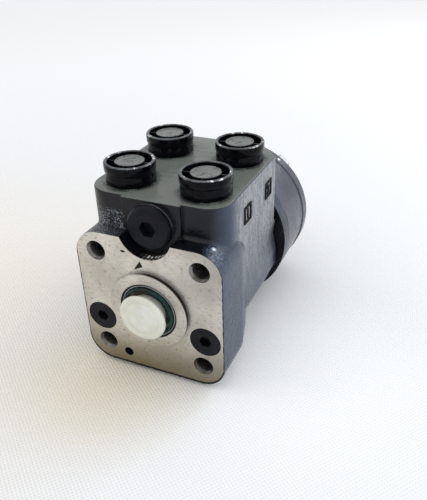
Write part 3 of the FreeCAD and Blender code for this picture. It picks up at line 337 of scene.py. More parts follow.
# %% Casting paint
def casting_paint():
    finish, tree, shader = new_finish("casting_paint", (0.008, 0.009, 0.011), 0.3)
    place = own_place(tree)
    across, along, up = own_axes(tree, place)
    waves = noise(tree, place, 110.0, 3.0)
    peel = noise(tree, place, 700.0, 2.0)
    grain = noise(tree, place, 1500.0, 3.0)
    sand = sand_corner(tree, across, along, up)
    label = label_zone(tree, across, along, up)
    top = ramp(tree, up, (block_top - 0.5) * mm, (block_top - 0.1) * mm)

    paint = flank_paint(tree, place, label, waves, peel)
    # Painted reflection of the pale sky: the milled top is grey-green.
    paint = blend_colour(tree, top, paint, (0.142, 0.157, 0.14))
    paint = flange_corner(tree, paint, place, grain)
    paint = wet_and_shadow_rings(tree, paint, place, top, waves)
    # Painted glints on the sand's grains.
    patches = noise(tree, place, 190.0, 2.0)
    grain_glints = times(tree, sand, ramp(tree, grain, 0.5, 0.64), ramp(tree, patches, 0.3, 0.6, 0.25, 1.0))
    paint = blend_colour(tree, grain_glints, paint, (0.36, 0.385, 0.42))

    dull = plus(tree, ramp(tree, waves, 0.25, 0.75, 0.2, 0.32), times(tree, label, 0.14))
    smooth = plus(tree, times(tree, waves, 0.5), times(tree, peel, 0.10))
    rough = plus(tree, sand, times(tree, ramp(tree, top, 1.0, 0.0), 0.08))
    height = plus(tree, smooth, times(tree, grain, rough))
    wire(tree, shader, paint, dull, bumped(tree, height, 0.9, 0.0012, 0.0008))
    shader.inputs["Specular IOR Level"].default_value = 0.26
    return finish


black_casting = casting_paint()
print("casting paint:", len(black_casting.node_tree.nodes), "nodes")

# %% [markdown]
# Bare machined iron
#
# The column face is milled after painting, so it is bare grey iron with fine tool marks, dents and
# stains. Painted shade makes its right side a little darker, and its lower part darker and warmer. A
# picture of metal would blur close up, so the marks are noise that is stretched along the cutter's way.

# %% Milled metal
def milled_metal(tree, place, brushed):
    across, _, up = own_axes(tree, place)
    clouds = noise(tree, place, 38.0, 3.0)
    blots = noise(tree, place, 420.0, 4.0)
    dents = add(tree, "TexVoronoi", {"Vector": place, "Scale": 85.0}).outputs["Distance"]
    metal = blend_colour(tree, ramp(tree, clouds, 0.3, 0.7), (0.54, 0.51, 0.455), (0.80, 0.77, 0.71))
    # Painted shade: the right side a little darker.
    shaded = times(tree, ramp(tree, across, -8 * mm, 42 * mm), ramp(tree, clouds, 0.25, 0.7, 0.75, 0.35))
    metal = blend_colour(tree, shaded, metal, (0.37, 0.36, 0.335))
    metal = blend_colour(tree, ramp(tree, brushed, 0.35, 0.72, 0.0, 0.4), metal, (0.33, 0.31, 0.28))
    metal = blend_colour(tree, ramp(tree, blots, 0.56, 0.7, 0.0, 0.5), metal, (0.2, 0.18, 0.15))
    # Painted shade: the lower part darker and warmer.
    low_shade = times(tree, ramp(tree, up, -8 * mm, -42 * mm), ramp(tree, clouds, 0.2, 0.6, 0.55, 0.9))
    metal = blend_colour(tree, low_shade, metal, (0.16, 0.125, 0.06))
    return blend_colour(tree, times(tree, ramp(tree, dents, 0.055, 0.035), 0.8), metal, (0.05, 0.05, 0.05))

# %% [markdown]
# Masks for the machined face
#
# A ragged lip of paint survives along the outline, and above the boss there is a chipped triangle with a
# nick beside it. The lip needs the distance to a square with round corners, and the chip needs to know
# which side of three lines a point is on. A few maths nodes give both, which is simpler than cutting the
# mesh along them.

# %% Masks on the machined face
def past_outline(tree, across, up):
    """How far a point lies past the face's outline, a square with round corners; below zero inside."""
    legs = []
    for value, half in ((across, face_half_across), (up, face_half_up)):
        leg = maths(tree, "SUBTRACT", maths(tree, "ABSOLUTE", value), (half - face_corner) * mm)
        legs.append(maths(tree, "MAXIMUM", leg, 0.0))
    return maths(tree, "SUBTRACT", length_of(tree, *legs), face_corner * mm)


def stain(tree, across, up, centre, reach, shape):
    """A small dark spot, one at its centre and zero past its reach."""
    aside = times(tree, maths(tree, "SUBTRACT", across, centre[0] * mm), shape[0])
    above = times(tree, maths(tree, "SUBTRACT", up, centre[1] * mm), shape[1])
    return ramp(tree, length_of(tree, aside, above), reach * mm, reach * 0.72 * mm)


def wedge(tree, across, up, corners):
    """One inside a triangle of the face, given by its corners anticlockwise in millimetres, else zero."""
    flat = add(tree, "CombineXYZ", {0: across, 1: up}).outputs[0]
    outside = -1.0
    for first, second in zip(corners, corners[1:] + corners[:1]):
        way = Vector((second[1] - first[1], first[0] - second[0], 0.0)).normalized()
        reach = add(tree, "VectorMath", {0: flat, 1: way}, operation="DOT_PRODUCT").outputs["Value"]
        past = maths(tree, "SUBTRACT", reach, way.dot(Vector((*first, 0.0))) * mm)
        outside = maths(tree, "MAXIMUM", past, outside)
    return ramp(tree, outside, 0.2 * mm, -0.05 * mm)

# %% [markdown]
# The machined face
#
# The wall of the round boss gets painted shade, most of all half way along it and at the upper right.
# It is blended over the milled metal first, and then come the lip, the chip and the nick. Roughness and
# bump follow the tool marks, so that the marks still show where the face only reflects the pale room.

# %% Machined face
chip_corners = [(-3.6, 28.2), (-7.2, 22.9), (-2.1, 25.2)]
nick_place = (-12.9, 32.2)
lip_raggedness = 1.1


def face_marks(tree, place, metal):
    across, along, up = own_axes(tree, place)
    # Painted shade on the boss wall, strongest half way along it and at the upper right.
    ring = band(tree, length_of(tree, across, up),
                (pilot_radius - 0.25, pilot_radius - 0.1, pilot_radius + 0.2, pilot_radius + 0.9))
    upper_right = ramp(tree, maths(tree, "ADD", across, up), 8 * mm, 25 * mm, 0.2, 1.0)
    off_middle = maths(tree, "ABSOLUTE", maths(tree, "ADD", along, 1.3 * mm))
    wall_shade = times(tree, ring, upper_right, ramp(tree, off_middle, 1.3 * mm, 0.7 * mm, 0.5, 1.0))
    metal = blend_colour(tree, wall_shade, metal, (0.014, 0.011, 0.007))

    ragged = times(tree, noise(tree, place, 300.0, 3.0), lip_raggedness * mm)
    edge = maths(tree, "ADD", past_outline(tree, across, up), ragged)
    metal = blend_colour(tree, ramp(tree, edge, -0.1 * mm, 0.25 * mm), metal, (0.012, 0.012, 0.013))
    small_patch = wedge(tree, across, up, chip_corners)
    metal = blend_colour(tree, small_patch, metal, (0.012, 0.012, 0.012))
    nick = stain(tree, across, up, nick_place, 1.0, (0.6, 1.3))
    return blend_colour(tree, nick, metal, (0.012, 0.012, 0.012))


def machined_face():
    finish, tree, shader = new_finish("machined_iron", (0.50, 0.485, 0.455), 0.42, 0.75)
    place = own_place(tree)
    brushed = noise(tree, place, 240.0, 5.0, (1.0, 1.0, 9.0))
    cross = noise(tree, place, 160.0, 4.0, (12.0, 1.0, 1.0))
    metal = face_marks(tree, place, milled_metal(tree, place, brushed))
    height = plus(tree, times(tree, brushed, 0.5), times(tree, cross, 0.4))
    wire(tree, shader, metal, ramp(tree, cross, 0.3, 0.7, 0.32, 0.5),
         bumped(tree, height, 0.4, 0.00016, 0.0003))
    return finish


bare_iron = machined_face()
print("machined face:", len(bare_iron.node_tree.nodes), "nodes")

# %% [markdown]
# Cutter chatter and screw threads
#
# The round cut for the relief plug was made with a cutter that chattered, and left ticks along its lower
# wall, which carry painted glints. They follow the angle round the plug, which a radial gradient gives.
# The port threads are ridges along the height, made from a zigzag of the height itself, with painted
# shade in their roots and painted light on their crests. Both are only shading, because the real marks
# are a few tenths of a millimetre deep.

# %% Chatter and port threads
chatter_ticks = 46.0
tick_ends = (1.9, 2.4, 4.2, 4.8)
port_pitch = 1.5


def chattered_wall():
    finish, tree, shader = new_finish("chattered_wall", (0.3, 0.3, 0.29), 0.3, 0.2)
    place = own_place(tree)
    across, along, up = own_axes(tree, place)
    level = maths(tree, "SUBTRACT", up, relief_height * mm)
    around = add(tree, "CombineXYZ", {0: across, 1: level}).outputs[0]
    angle = add(tree, "TexGradient", {"Vector": around}, gradient_type="RADIAL").outputs["Fac"]
    tick = maths(tree, "PINGPONG", times(tree, angle, chatter_ticks), 0.5)
    broken = ramp(tree, noise(tree, place, 420.0, 3.0), 0.3, 0.45)
    inner_row = band(tree, along, tick_ends)
    outer_row = times(tree, ramp(tree, along, 1.3 * mm, 0.9 * mm), 0.4)
    # Painted glints on the chatter ticks.
    tick_glints = times(tree, ramp(tree, tick, 0.22, 0.3), broken, plus(tree, inner_row, outer_row))
    metal = blend_colour(tree, tick_glints, (0.02, 0.018, 0.012), (0.95, 0.95, 0.90))
    bare = ramp(tree, across, -4.5 * mm, 0.5 * mm)
    colour = blend_colour(tree, bare, (0.006, 0.006, 0.008), metal)
    wire(tree, shader, colour, normal=bumped(tree, tick, 0.8, 0.0003, 0.0002))
    return finish


def threaded_wall():
    finish, tree, shader = new_finish("threaded_wall", (0.3, 0.29, 0.27), 0.35, 0.85)
    place = own_place(tree)
    up = own_axes(tree, place)[2]
    half_pitch = port_pitch / 2.0 * mm
    ridge = ramp(tree, maths(tree, "PINGPONG", up, half_pitch), 0.0, half_pitch)
    # Painted shade in the thread's roots and painted light on its crests.
    metal = blend_colour(tree, ridge, (0.07, 0.065, 0.06), (0.42, 0.40, 0.37))
    wire(tree, shader, metal, normal=bumped(tree, ridge, 1.0, 0.0006, 0.0002))
    return finish


spot_wall = chattered_wall()
port_thread = threaded_wall()
print("walls of the cuts:", spot_wall.name, "and", port_thread.name)

# %% [markdown]
# Steel and rubber
#
# The plugs of the two shock valves and of the relief valve are black oxide steel, the spool and the
# valve pieces are ground steel, and the screws are plated. The metals differ only in colour, gloss and
# grain, and rubber is the same without metal, so one builder makes them all. It takes a dark and a light
# colour, the range of roughness, the share of metal, the grain's fineness and depth, and the shine.

# %% Steel and rubber finishes
def grained(name, dark, light, rough, metallic, fineness, depth, shine=0.5):
    finish, tree, shader = new_finish(name, light, rough[1], metallic)
    place = own_place(tree)
    clouds = noise(tree, place, 90.0, 4.0)
    grain = noise(tree, place, fineness, 4.0)
    wire(tree, shader, blend_colour(tree, ramp(tree, clouds, 0.3, 0.7), dark, light),
         ramp(tree, grain, 0.3, 0.7, *rough), bumped(tree, grain, 0.4, depth, 0.0003))
    shader.inputs["Specular IOR Level"].default_value = shine
    return finish


oxide_steel = grained("oxide_steel", (0.005, 0.0055, 0.008), (0.013, 0.014, 0.019),
                      (0.34, 0.48), 0.35, 900.0, 0.00015, shine=0.18)
ground_steel = grained("ground_steel", (0.5, 0.5, 0.5), (0.64, 0.64, 0.65),
                       (0.2, 0.34), 1.0, 600.0, 0.00005)
plated_steel = grained("plated_steel", (0.3, 0.3, 0.32), (0.45, 0.45, 0.46),
                       (0.28, 0.42), 1.0, 500.0, 0.00008)
thread_steel = grained("thread_steel", (0.035, 0.033, 0.03), (0.15, 0.14, 0.125),
                       (0.22, 0.38), 0.85, 500.0, 0.0001)
mouth_iron = grained("mouth_iron", (0.04, 0.035, 0.028), (0.24, 0.23, 0.21),
                     (0.14, 0.26), 1.0, 300.0, 0.0003)
# A darker steel for the spool's nose.
dark_nose_steel = grained("dark_nose_steel", (0.03, 0.035, 0.032), (0.10, 0.11, 0.10),
                      (0.18, 0.3), 0.8, 260.0, 0.0002)
spring_steel = grained("spring_steel", (0.2, 0.21, 0.23), (0.34, 0.35, 0.37),
                       (0.28, 0.4), 1.0, 500.0, 0.00005)
seal_rubber = grained("seal_rubber", (0.015, 0.015, 0.015), (0.03, 0.03, 0.03),
                      (0.5, 0.7), 0.0, 800.0, 0.0001)
wiper_rubber = grained("wiper_rubber", (0.0005, 0.006, 0.0055), (0.003, 0.034, 0.029),
                       (0.12, 0.34), 0.0, 300.0, 0.0009, shine=0.24)
black_line = grained("black_line", (0.002, 0.002, 0.003), (0.005, 0.005, 0.006),
                     (0.5, 0.65), 0.0, 700.0, 0.0002, shine=0.08)
print("finishes so far:", len(bpy.data.materials))

# %% [markdown]
# Paint of the gear set
#
# The plate, the gear ring and the end cover are painted apart from the housing, in a bluish glossy coat
# with broad soft clouds. One small painted highlight is bright on the cover, and one nick on the plate is
# dark. All three pieces share one finish and one set of coordinates, so the clouds run on across their
# joints.

# %% Gear set paint
cover_highlight = (25.1, 130.7, 36.1)
plate_nick = (43.4, 101.6, 8.7)


def gear_set_paint():
    finish, tree, shader = new_finish("gear_set_paint", (0.03, 0.035, 0.05), 0.26)
    place = own_place(tree)
    clouds = noise(tree, place, 60.0, 3.0)
    waves = noise(tree, place, 140.0, 4.0)
    paint = blend_colour(tree, ramp(tree, clouds, 0.3, 0.7), (0.030, 0.035, 0.052), (0.052, 0.058, 0.086))
    # A painted highlight on the cover.
    small_patch = near_to(tree, place, cover_highlight, 0.9, 0.5)
    nick = near_to(tree, place, plate_nick, 0.7, 0.5)
    paint = blend_colour(tree, small_patch, paint, (0.85, 0.90, 0.90))
    paint = blend_colour(tree, nick, paint, (0.01, 0.015, 0.02))
    wire(tree, shader, paint, ramp(tree, waves, 0.3, 0.7, 0.2, 0.34),
         bumped(tree, waves, 0.4, 0.0008, 0.0003))
    return finish


set_paint = gear_set_paint()
print("gear set paint:", len(set_paint.node_tree.nodes), "nodes")

# %% [markdown]
# Black plastic of the plugs
#
# The plugs are moulded in a deep black, glossy plastic. The top of the rim is grey, partly from scuffs of
# handling and partly as a painted sheen, and a few points on it carry painted glints. The rim is told from
# the rest by its height, so no extra material or edge in the mesh is needed.

# %% Plug plastic
plug_rim_height = 68.75


def plug_moulding():
    finish, tree, shader = new_finish("plug_plastic", (0.004, 0.004, 0.005), 0.16)
    place = own_place(tree)
    up = own_axes(tree, place)[2]
    waves = noise(tree, place, 260.0, 3.0)
    scuffs = noise(tree, place, 240.0, 5.0)
    rim = ramp(tree, up, plug_rim_height * mm, (plug_rim_height + 0.35) * mm)
    plastic = blend_colour(tree, ramp(tree, waves, 0.3, 0.7), (0.001, 0.001, 0.002), (0.004, 0.004, 0.006))
    # The rim's top: grey scuffs and a painted sheen.
    scuffs_and_sheen = times(tree, rim, ramp(tree, scuffs, 0.35, 0.6, 0.4, 1.0))
    plastic = blend_colour(tree, scuffs_and_sheen, plastic, (0.14, 0.15, 0.155))
    # Painted glints at a few points of the rim.
    plastic = blend_colour(tree, times(tree, rim, ramp(tree, scuffs, 0.6, 0.66)), plastic, (0.85, 0.87, 0.88))
    wire(tree, shader, plastic, ramp(tree, waves, 0.3, 0.7, 0.08, 0.18),
         bumped(tree, waves, 0.5, 0.0006, 0.0003))
    shader.inputs["Specular IOR Level"].default_value = 0.1
    return finish


plug_plastic = plug_moulding()
print("plug plastic:", len(plug_plastic.node_tree.nodes), "nodes")

# %% [markdown]
# Discs of the plugs
#
# The disc in the middle of each plug is rubbed duller and grey-green, with dark scuffs and a few pale
# scratches. The scratches are the same kind of noise as the scuffs, drawn out across the unit and kept
# only at its peaks, which leaves thin short lines.

# %% Plug discs
def scuffed_discs():
    finish, tree, shader = new_finish("disc_plastic", (0.12, 0.13, 0.12), 0.3)
    place = own_place(tree)
    clouds = noise(tree, place, 160.0, 4.0)
    scuffs = noise(tree, place, 330.0, 5.0)
    scratches = noise(tree, place, 500.0, 3.0, (0.25, 1.0, 1.0))
    plastic = blend_colour(tree, ramp(tree, clouds, 0.3, 0.7), (0.075, 0.085, 0.078), (0.15, 0.16, 0.15))
    plastic = blend_colour(tree, ramp(tree, scuffs, 0.58, 0.66, 0.0, 0.8), plastic, (0.012, 0.013, 0.014))
    plastic = blend_colour(tree, ramp(tree, scratches, 0.68, 0.76, 0.0, 0.7), plastic, (0.5, 0.5, 0.48))
    wire(tree, shader, plastic, ramp(tree, clouds, 0.3, 0.7, 0.22, 0.4),
         bumped(tree, scuffs, 0.5, 0.0006, 0.0003))
    return finish


disc_plastic = scuffed_discs()
print("disc plastic:", len(disc_plastic.node_tree.nodes), "nodes")

# %% [markdown]
# Cream plastic of the cap
#
# The cap is thin cream plastic, and light enters it a little before it comes back out. A plain diffuse
# colour looks like chalk, so the finish has subsurface scattering over a few millimetres.

# %% Cap plastic
def cap_plastic():
    finish, tree, shader = new_finish("cap_plastic", (0.66, 0.66, 0.58), 0.34)
    place = own_place(tree)
    clouds = noise(tree, place, 70.0, 3.0)
    colour = blend_colour(tree, ramp(tree, clouds, 0.3, 0.7), (0.64, 0.64, 0.55), (0.75, 0.755, 0.69))
    wire(tree, shader, colour, normal=bumped(tree, clouds, 0.2, 0.0002, 0.0005))
    shader.inputs["Subsurface Weight"].default_value = 0.35
    shader.inputs["Subsurface Radius"].default_value = (0.004, 0.0032, 0.002)
    shader.inputs["Subsurface Scale"].default_value = 1.0
    return finish


cream_cap = cap_plastic()
print("finishes:", len(bpy.data.materials))

# %% [markdown]
# Dressing every CAD solid
#
# The CAD model says what each piece is made of by a material slot, so one list of slots is enough to
# dress all of them. The nodes inside are seen only when the unit is taken apart or a plug is pulled, but
# they are finished all the same.

# %% Finish the CAD nodes
finish_for_slot = {"black_paint": set_paint, "zinc_steel": plated_steel, "soft_steel": plated_steel,
                   "bright_steel": ground_steel, "spring_steel": spring_steel, "blued_steel": oxide_steel,
                   "seal_rubber": seal_rubber, "seal_green": wiper_rubber, "black_plastic": plug_plastic,
                   "cream_plastic": cream_cap}


def set_finish(piece, finish):
    piece.data.materials.clear()
    piece.data.materials.append(finish)


for node, thing in nodes.items():
    set_finish(thing, finish_for_slot[slot_of[node]])
print("dressed", len(nodes), "nodes")

# %% [markdown]
# Skins over the visible solids
#
# A CAD mesh is loose triangles, so its round walls shade as flat strips. The cure is a copy: the copy's
# doubled points are merged, and edges under a chosen angle are shaded smooth while true corners stay
# crisp. The copy then stands in for the node.

# %% Skins
skin_crease = math.radians(32.0)
skin_gap = 0.002


def only(piece):
    bpy.ops.object.select_all(action="DESELECT")
    piece.select_set(True)
    bpy.context.view_layer.objects.active = piece


def skin_of(node):
    only(nodes[node])
    bpy.ops.object.duplicate()
    skin = bpy.context.view_layer.objects.active
    skin.name = node + "_skin"
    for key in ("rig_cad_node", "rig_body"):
        if key in skin:
            del skin[key]
    bpy.ops.object.parent_clear(type="CLEAR_KEEP_TRANSFORM")
    only(skin)
    bpy.ops.object.mode_set(mode="EDIT")
    bpy.ops.mesh.select_all(action="SELECT")
    bpy.ops.mesh.customdata_custom_splitnormals_clear()
    bpy.ops.mesh.remove_doubles(threshold=skin_gap * mm)
    bpy.ops.mesh.select_all(action="DESELECT")
    bpy.ops.object.mode_set(mode="OBJECT")
    bpy.ops.object.shade_smooth_by_angle(angle=skin_crease)
    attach(skin, body_of[node])
    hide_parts(node)
    return skin


skins = {node: skin_of(node) for node in (
    "housing", "distributor_plate", "gear_ring", "end_cover", "end_cover_screws", "screw_washers",
    "relief_plug", "relief_plug_washer", "shock_plug_left", "shock_plug_right", "control_spool")}
print("skins:", len(skins))

# %% [markdown]
# Springs
#
# A coil spring gets shorter as its poppet opens, and each valve spring rests on a plug or on the adjuster
# at one end. The three valve springs are skinned like the pieces above, each with a mesh of its own. The
# stack of leaf springs really bends between the slots when the spool twists. Bending six leaves would take
# a rig, so the stack is skinned the same way, with a mesh of its own.

# %% Springs
relief_spring_seat = 26.5
relief_travel = 1.5
shock_spring_seat = 11.0
shock_travel = 1.2

for node, joint, fixed_end, travel in (
        ("relief_spring", "relief_open", relief_spring_seat, relief_travel),
        ("shock_spring_left", "shock_open_left", shock_spring_seat, shock_travel),
        ("shock_spring_right", "shock_open_right", shock_spring_seat, shock_travel)):
    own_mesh(skin_of(node))
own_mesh(skin_of("centring_springs"))

# %% [markdown]
# Faces with their own finish
#
# On the casting, the milled face, the boss around the shaft and the mouths of the bolt holes are bare
# iron, while everything else is painted. The solid's faces have no names, so they are picked by their
# place. The limits are in millimetres, with a hair of slack at a flat face and a little more play at a
# round wall, whose faces cut inside the true circle. The two label frames are raised ribs, and they
# alone stand proud of the label face.

# %% Faces by their place
hair = 0.02
play = 0.3
bore_reach = 21.8
bolt_reach = 6.2
bolt_mouth_end = 1.3
bolt_thread_end = 18.3
spot_wall_end = spot_depth + 0.2
spot_wall_top = 43.0
port_tap_reach = 10.6
port_tap_bottom = 40.0
port_tap_top = block_top - 0.05
rib_start, rib_end, rib_bottom = 34.0, 80.0, 35.0
spool_nose_start = -1.4


def off_bolt(spot):
    return math.hypot(abs(spot.x) - half_bolt_span, abs(spot.z) - half_bolt_span)


def is_bare(spot):
    return spot.y < hair or (off_bolt(spot) > bolt_reach and math.hypot(spot.x, spot.z) < bore_reach)


def is_bolt_thread(spot):
    return off_bolt(spot) < bolt_reach and bolt_mouth_end < spot.y < bolt_thread_end


def is_bolt_mouth(spot):
    return off_bolt(spot) < bolt_reach and hair < spot.y < bolt_mouth_end


def is_spot_wall(spot):
    off_wall = abs(math.hypot(spot.x, spot.z - relief_height) - spot_radius)
    return off_wall < play and spot.y < spot_wall_end and spot.z < spot_wall_top


def is_port_wall(spot):
    along = min(abs(spot.y - row) for row in port_rows.values())
    from_axis = math.hypot(abs(spot.x) - port_across, along)
    return from_axis < port_tap_reach and port_tap_bottom < spot.z < port_tap_top


def is_rib(spot):
    return spot.x > label_face + hair and rib_start < spot.y < rib_end and spot.z > rib_bottom


def is_spool_nose(spot):
    return spot.y < spool_nose_start

# %% [markdown]
# Finishing the picked faces
#
# A painter masks a face with tape. Here each group of faces gets a material of its own instead, which
# needs no second mesh and leaves no seam. How far each corner of a face turns to the right is stored as
# well, for the painted bluish sheen and the label face in the casting's paint.

# %% Paint masks on the casting
def assign_faces(piece, finish, wanted):
    piece.data.materials.append(finish)
    index = len(piece.data.materials) - 1
    picked = 0
    for face in piece.data.polygons:
        if wanted(face.center / mm):
            face.material_index = index
            picked += 1
    return picked


def mark_facing(piece, name, way):
    """Stores how far each corner of each face turns towards a way, for a finish to read."""
    store = piece.data.attributes.new(name, "FLOAT", "CORNER")
    for corner, normal in zip(store.data, piece.data.corner_normals):
        corner.value = max(0.0, normal.vector.dot(way))
    return len(store.data)


housing = skins["housing"]
set_finish(housing, black_casting)
print("corners marked:", mark_facing(housing, "faces_right", Vector((1.0, 0.0, 0.0))))
for finish, wanted in ((bare_iron, is_bare), (black_line, is_rib), (spot_wall, is_spot_wall),
                       (port_thread, is_port_wall), (thread_steel, is_bolt_thread),
                       (mouth_iron, is_bolt_mouth)):
    print(finish.name, assign_faces(housing, finish, wanted), "faces")
print("spool nose:", assign_faces(skins["control_spool"], dark_nose_steel, is_spool_nose), "faces")

# %% [markdown]
# A small lathe
#
# Plugs, caps and threads are turned shapes. The lathe here works as by hand: a plane is merged to one
# point, the point is extruded along the half section, and the line is spun round the axis. Doubles on
# the axis are merged and the normals are made to face outwards.

# %% Lathe
lathe_gap = 0.004


def lathe(name, section, centre, axis, steps=64):
    """Turns a half section of (radius, height) pairs, in millimetres, about an axis through a centre."""
    axis = Vector(axis)
    sideways = Vector((1.0, 0.0, 0.0))
    points = [Vector(centre) * mm + sideways * radius * mm + axis * height * mm for radius, height in section]
    bpy.ops.object.select_all(action="DESELECT")
    bpy.ops.mesh.primitive_plane_add(size=mm, location=points[0])
    piece = bpy.context.view_layer.objects.active
    piece.name = name
    bpy.ops.object.transform_apply(location=True, rotation=True, scale=True)
    bpy.ops.object.mode_set(mode="EDIT")
    bpy.ops.mesh.select_all(action="SELECT")
    bpy.ops.mesh.merge(type="CENTER")
    for before, after in zip(points, points[1:]):
        bpy.ops.mesh.extrude_vertices_move(TRANSFORM_OT_translate={"value": after - before})
    bpy.ops.mesh.select_all(action="SELECT")
    bpy.ops.mesh.spin(steps=steps, angle=math.radians(360.0), center=Vector(centre) * mm, axis=axis)
    bpy.ops.mesh.select_all(action="SELECT")
    bpy.ops.mesh.remove_doubles(threshold=lathe_gap * mm)
    bpy.ops.mesh.select_all(action="SELECT")
    bpy.ops.mesh.normals_make_consistent(inside=False)
    bpy.ops.mesh.select_all(action="DESELECT")
    bpy.ops.object.mode_set(mode="OBJECT")
    return piece

# %% [markdown]
# From a shape to a piece
#
# No moulded or turned edge is perfectly sharp, and a narrow bevel is what catches the light along it. So
# a new shape is softened and joined to what belongs to it. Then it is settled: its place goes into its
# mesh, and it gets its finish and the body that it moves with.

# %% Softening, joining and settling
soft_corner = math.radians(35.0)
soft_crease = math.radians(40.0)


def soften(piece, width):
    only(piece)
    bevel = piece.modifiers.new("soft_edges", "BEVEL")
    bevel.width = width * mm
    bevel.segments = 2
    bevel.limit_method = "ANGLE"
    bevel.angle_limit = soft_corner
    bpy.ops.object.modifier_apply(modifier=bevel.name)
    bpy.ops.object.shade_smooth_by_angle(angle=soft_crease)


def join_to(piece, others):
    only(piece)
    for other in others:
        other.select_set(True)
    bpy.ops.object.join()
    return piece


def settle(piece, finish, body, replaced=()):
    set_finish(piece, finish)
    only(piece)
    bpy.ops.object.transform_apply(location=True, rotation=True, scale=True)
    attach(piece, body)
    if replaced:
        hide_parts(*replaced)
    return piece

# %% [markdown]
# Port plugs
#
# Four soft plastic plugs close the ports for transport. Each has a thick glossy rim, a deep ring-shaped
# recess, a duller disc in the middle held by four thin webs, and a hollow stem in the port. One section
# is turned for the plug, from the middle of the disc over the rim and down the stem, and the webs are
# four slim blocks with rounded edges, joined to it.

# %% Port plug
plug_section = [
    (0.0, 68.75), (1.1, 68.75), (1.5, 68.45), (6.9, 68.45), (7.3, 68.7), (7.7, 68.7), (7.95, 68.4),
    (8.0, 61.6), (8.4, 61.2), (11.2, 61.2), (11.55, 61.6), (11.6, 68.9), (11.9, 69.28), (12.7, 69.3),
    (13.25, 69.05), (13.44, 68.5), (13.44, 64.9), (13.2, 64.45), (12.95, 64.3), (12.95, 62.8), (13.1, 62.5),
    (13.1, 58.6), (12.9, 58.25), (9.3, 58.25), (9.3, 47.0), (8.7, 46.25),
    (7.2, 46.25), (7.2, 59.5), (0.0, 59.5)]
web_size = (4.4, 1.3, 6.6)
web_ring = 9.8
web_height = 64.7
web_count = 4
first_web_turn = 8.0
plug_edge = 0.12
web_edge = 0.2


def plug_web(across, along, turn):
    """A slim block that bridges the recess, at an angle round the plug's axis."""
    way = Vector((math.cos(turn), math.sin(turn), 0.0))
    bpy.ops.object.select_all(action="DESELECT")
    bpy.ops.mesh.primitive_cube_add(size=1.0, location=(0.0, 0.0, 0.0))
    web = bpy.context.view_layer.objects.active
    web.scale = Vector(web_size) * mm
    web.rotation_euler = Euler((0.0, 0.0, turn))
    web.location = Vector((across, along, web_height)) * mm + way * web_ring * mm
    bpy.ops.object.transform_apply(location=True, rotation=True, scale=True)
    soften(web, web_edge)
    return web


def port_plug(name, across, along):
    plug = lathe(name, plug_section, (across, along, 0.0), (0.0, 0.0, 1.0))
    soften(plug, plug_edge)
    turns = [math.radians(360.0 / web_count * step + first_web_turn) for step in range(web_count)]
    return join_to(plug, [plug_web(across, along, turn) for turn in turns])

# %% [markdown]
# A plug for each port
#
# The same steps make all four plugs, each with its own mesh, and each stands in for its CAD node. The
# faces on top of the disc are picked by their place again, and get the duller plastic.

# %% Four port plugs
disc_reach = 7.6
disc_low = 68.3


def is_disc(across, along):
    def wanted(spot):
        return spot.z > disc_low and math.hypot(spot.x - across, spot.y - along) < disc_reach
    return wanted


for row, along in port_rows.items():
    for side, across in (("left", -port_across), ("right", port_across)):
        node = f"port_plug_{row}_{side}"
        plug = settle(port_plug(node + "_moulded", across, along), plug_plastic, body_of[node],
                      (node,))
        disc_faces = assign_faces(plug, disc_plastic, is_disc(across, along))
        print(plug.name, len(plug.data.polygons), "faces,", disc_faces, "on the disc")

# %% [markdown]
# Shaft cap
#
# A cream plastic cap keeps dirt out of the splined shaft opening. Its flange is thin and carries faint
# rings from the mould, and its hollow stem sits in the spool. It is round all over, so it is turned in
# one go from its half section, with more steps than the plugs because it faces the viewer.

# %% Shaft cap
shaft_axis = (0.0, 1.0, 0.0)
shaft_middle = (0.0, 0.0, 0.0)
shaft_steps = 72
cap_edge = 0.14
cap_section = [
    (0.0, -8.8), (1.6, -8.8), (2.0, -9.0), (2.9, -9.0), (3.3, -8.84), (5.9, -8.84), (6.3, -9.02),
    (8.9, -9.02), (9.2, -8.86), (9.6, -8.86), (10.0, -9.12), (12.1, -9.12), (12.7, -8.95), (13.06, -8.5),
    (13.06, -7.75), (12.8, -7.36), (10.0, -7.32), (10.0, -1.55), (7.25, -1.55), (7.25, 9.0), (6.85, 9.45),
    (5.9, 9.45), (5.9, -7.3), (0.0, -7.3)]
cap = lathe("shaft_cap_moulded", cap_section, shaft_middle, shaft_axis, shaft_steps)
soften(cap, cap_edge)
settle(cap, cream_cap, body_of["shaft_cap"], ("shaft_cap",))
print("cap faces:", len(cap.data.polygons))

# %% [markdown]
# Wiper and garter ring
#
# Round the cap sits a green rubber wiper whose lip leans out over the spool, and a bright garter ring
# presses the lip down. The wiper's section is closed, so the spin gives a ring. The garter's section is
# an eight-sided circle, which smooth shading makes round.

# %% Wiper and garter
wiper_section = [
    (14.15, 1.0), (14.15, -1.5), (13.7, -2.4), (13.1, -3.4), (13.15, -3.8), (13.6, -3.95), (14.1, -3.6),
    (14.6, -2.4), (14.8, -1.5), (15.5, -1.4), (15.65, -1.9), (16.0, -1.95), (16.25, -1.7), (16.25, 1.55),
    (14.5, 1.55), (14.15, 1.0)]
wiper_edge = 0.1
garter_radius, garter_place, garter_wire, garter_sides = 15.1, -1.85, 0.3, 8
garter_turns = [math.radians(360.0 * side / garter_sides) for side in range(garter_sides + 1)]
garter_section = [(garter_radius + garter_wire * math.cos(turn), garter_place + garter_wire * math.sin(turn))
                  for turn in garter_turns]
wiper = lathe("dust_seal_lipped", wiper_section, shaft_middle, shaft_axis, shaft_steps)
soften(wiper, wiper_edge)
settle(wiper, wiper_rubber, body_of["dust_seal"], ("dust_seal",))
garter = lathe("dust_seal_garter", garter_section, shaft_middle, shaft_axis, shaft_steps)
only(garter)
bpy.ops.object.shade_smooth()
settle(garter, plated_steel, body_of["dust_seal"])
print("wiper faces:", len(wiper.data.polygons), "garter faces:", len(garter.data.polygons))

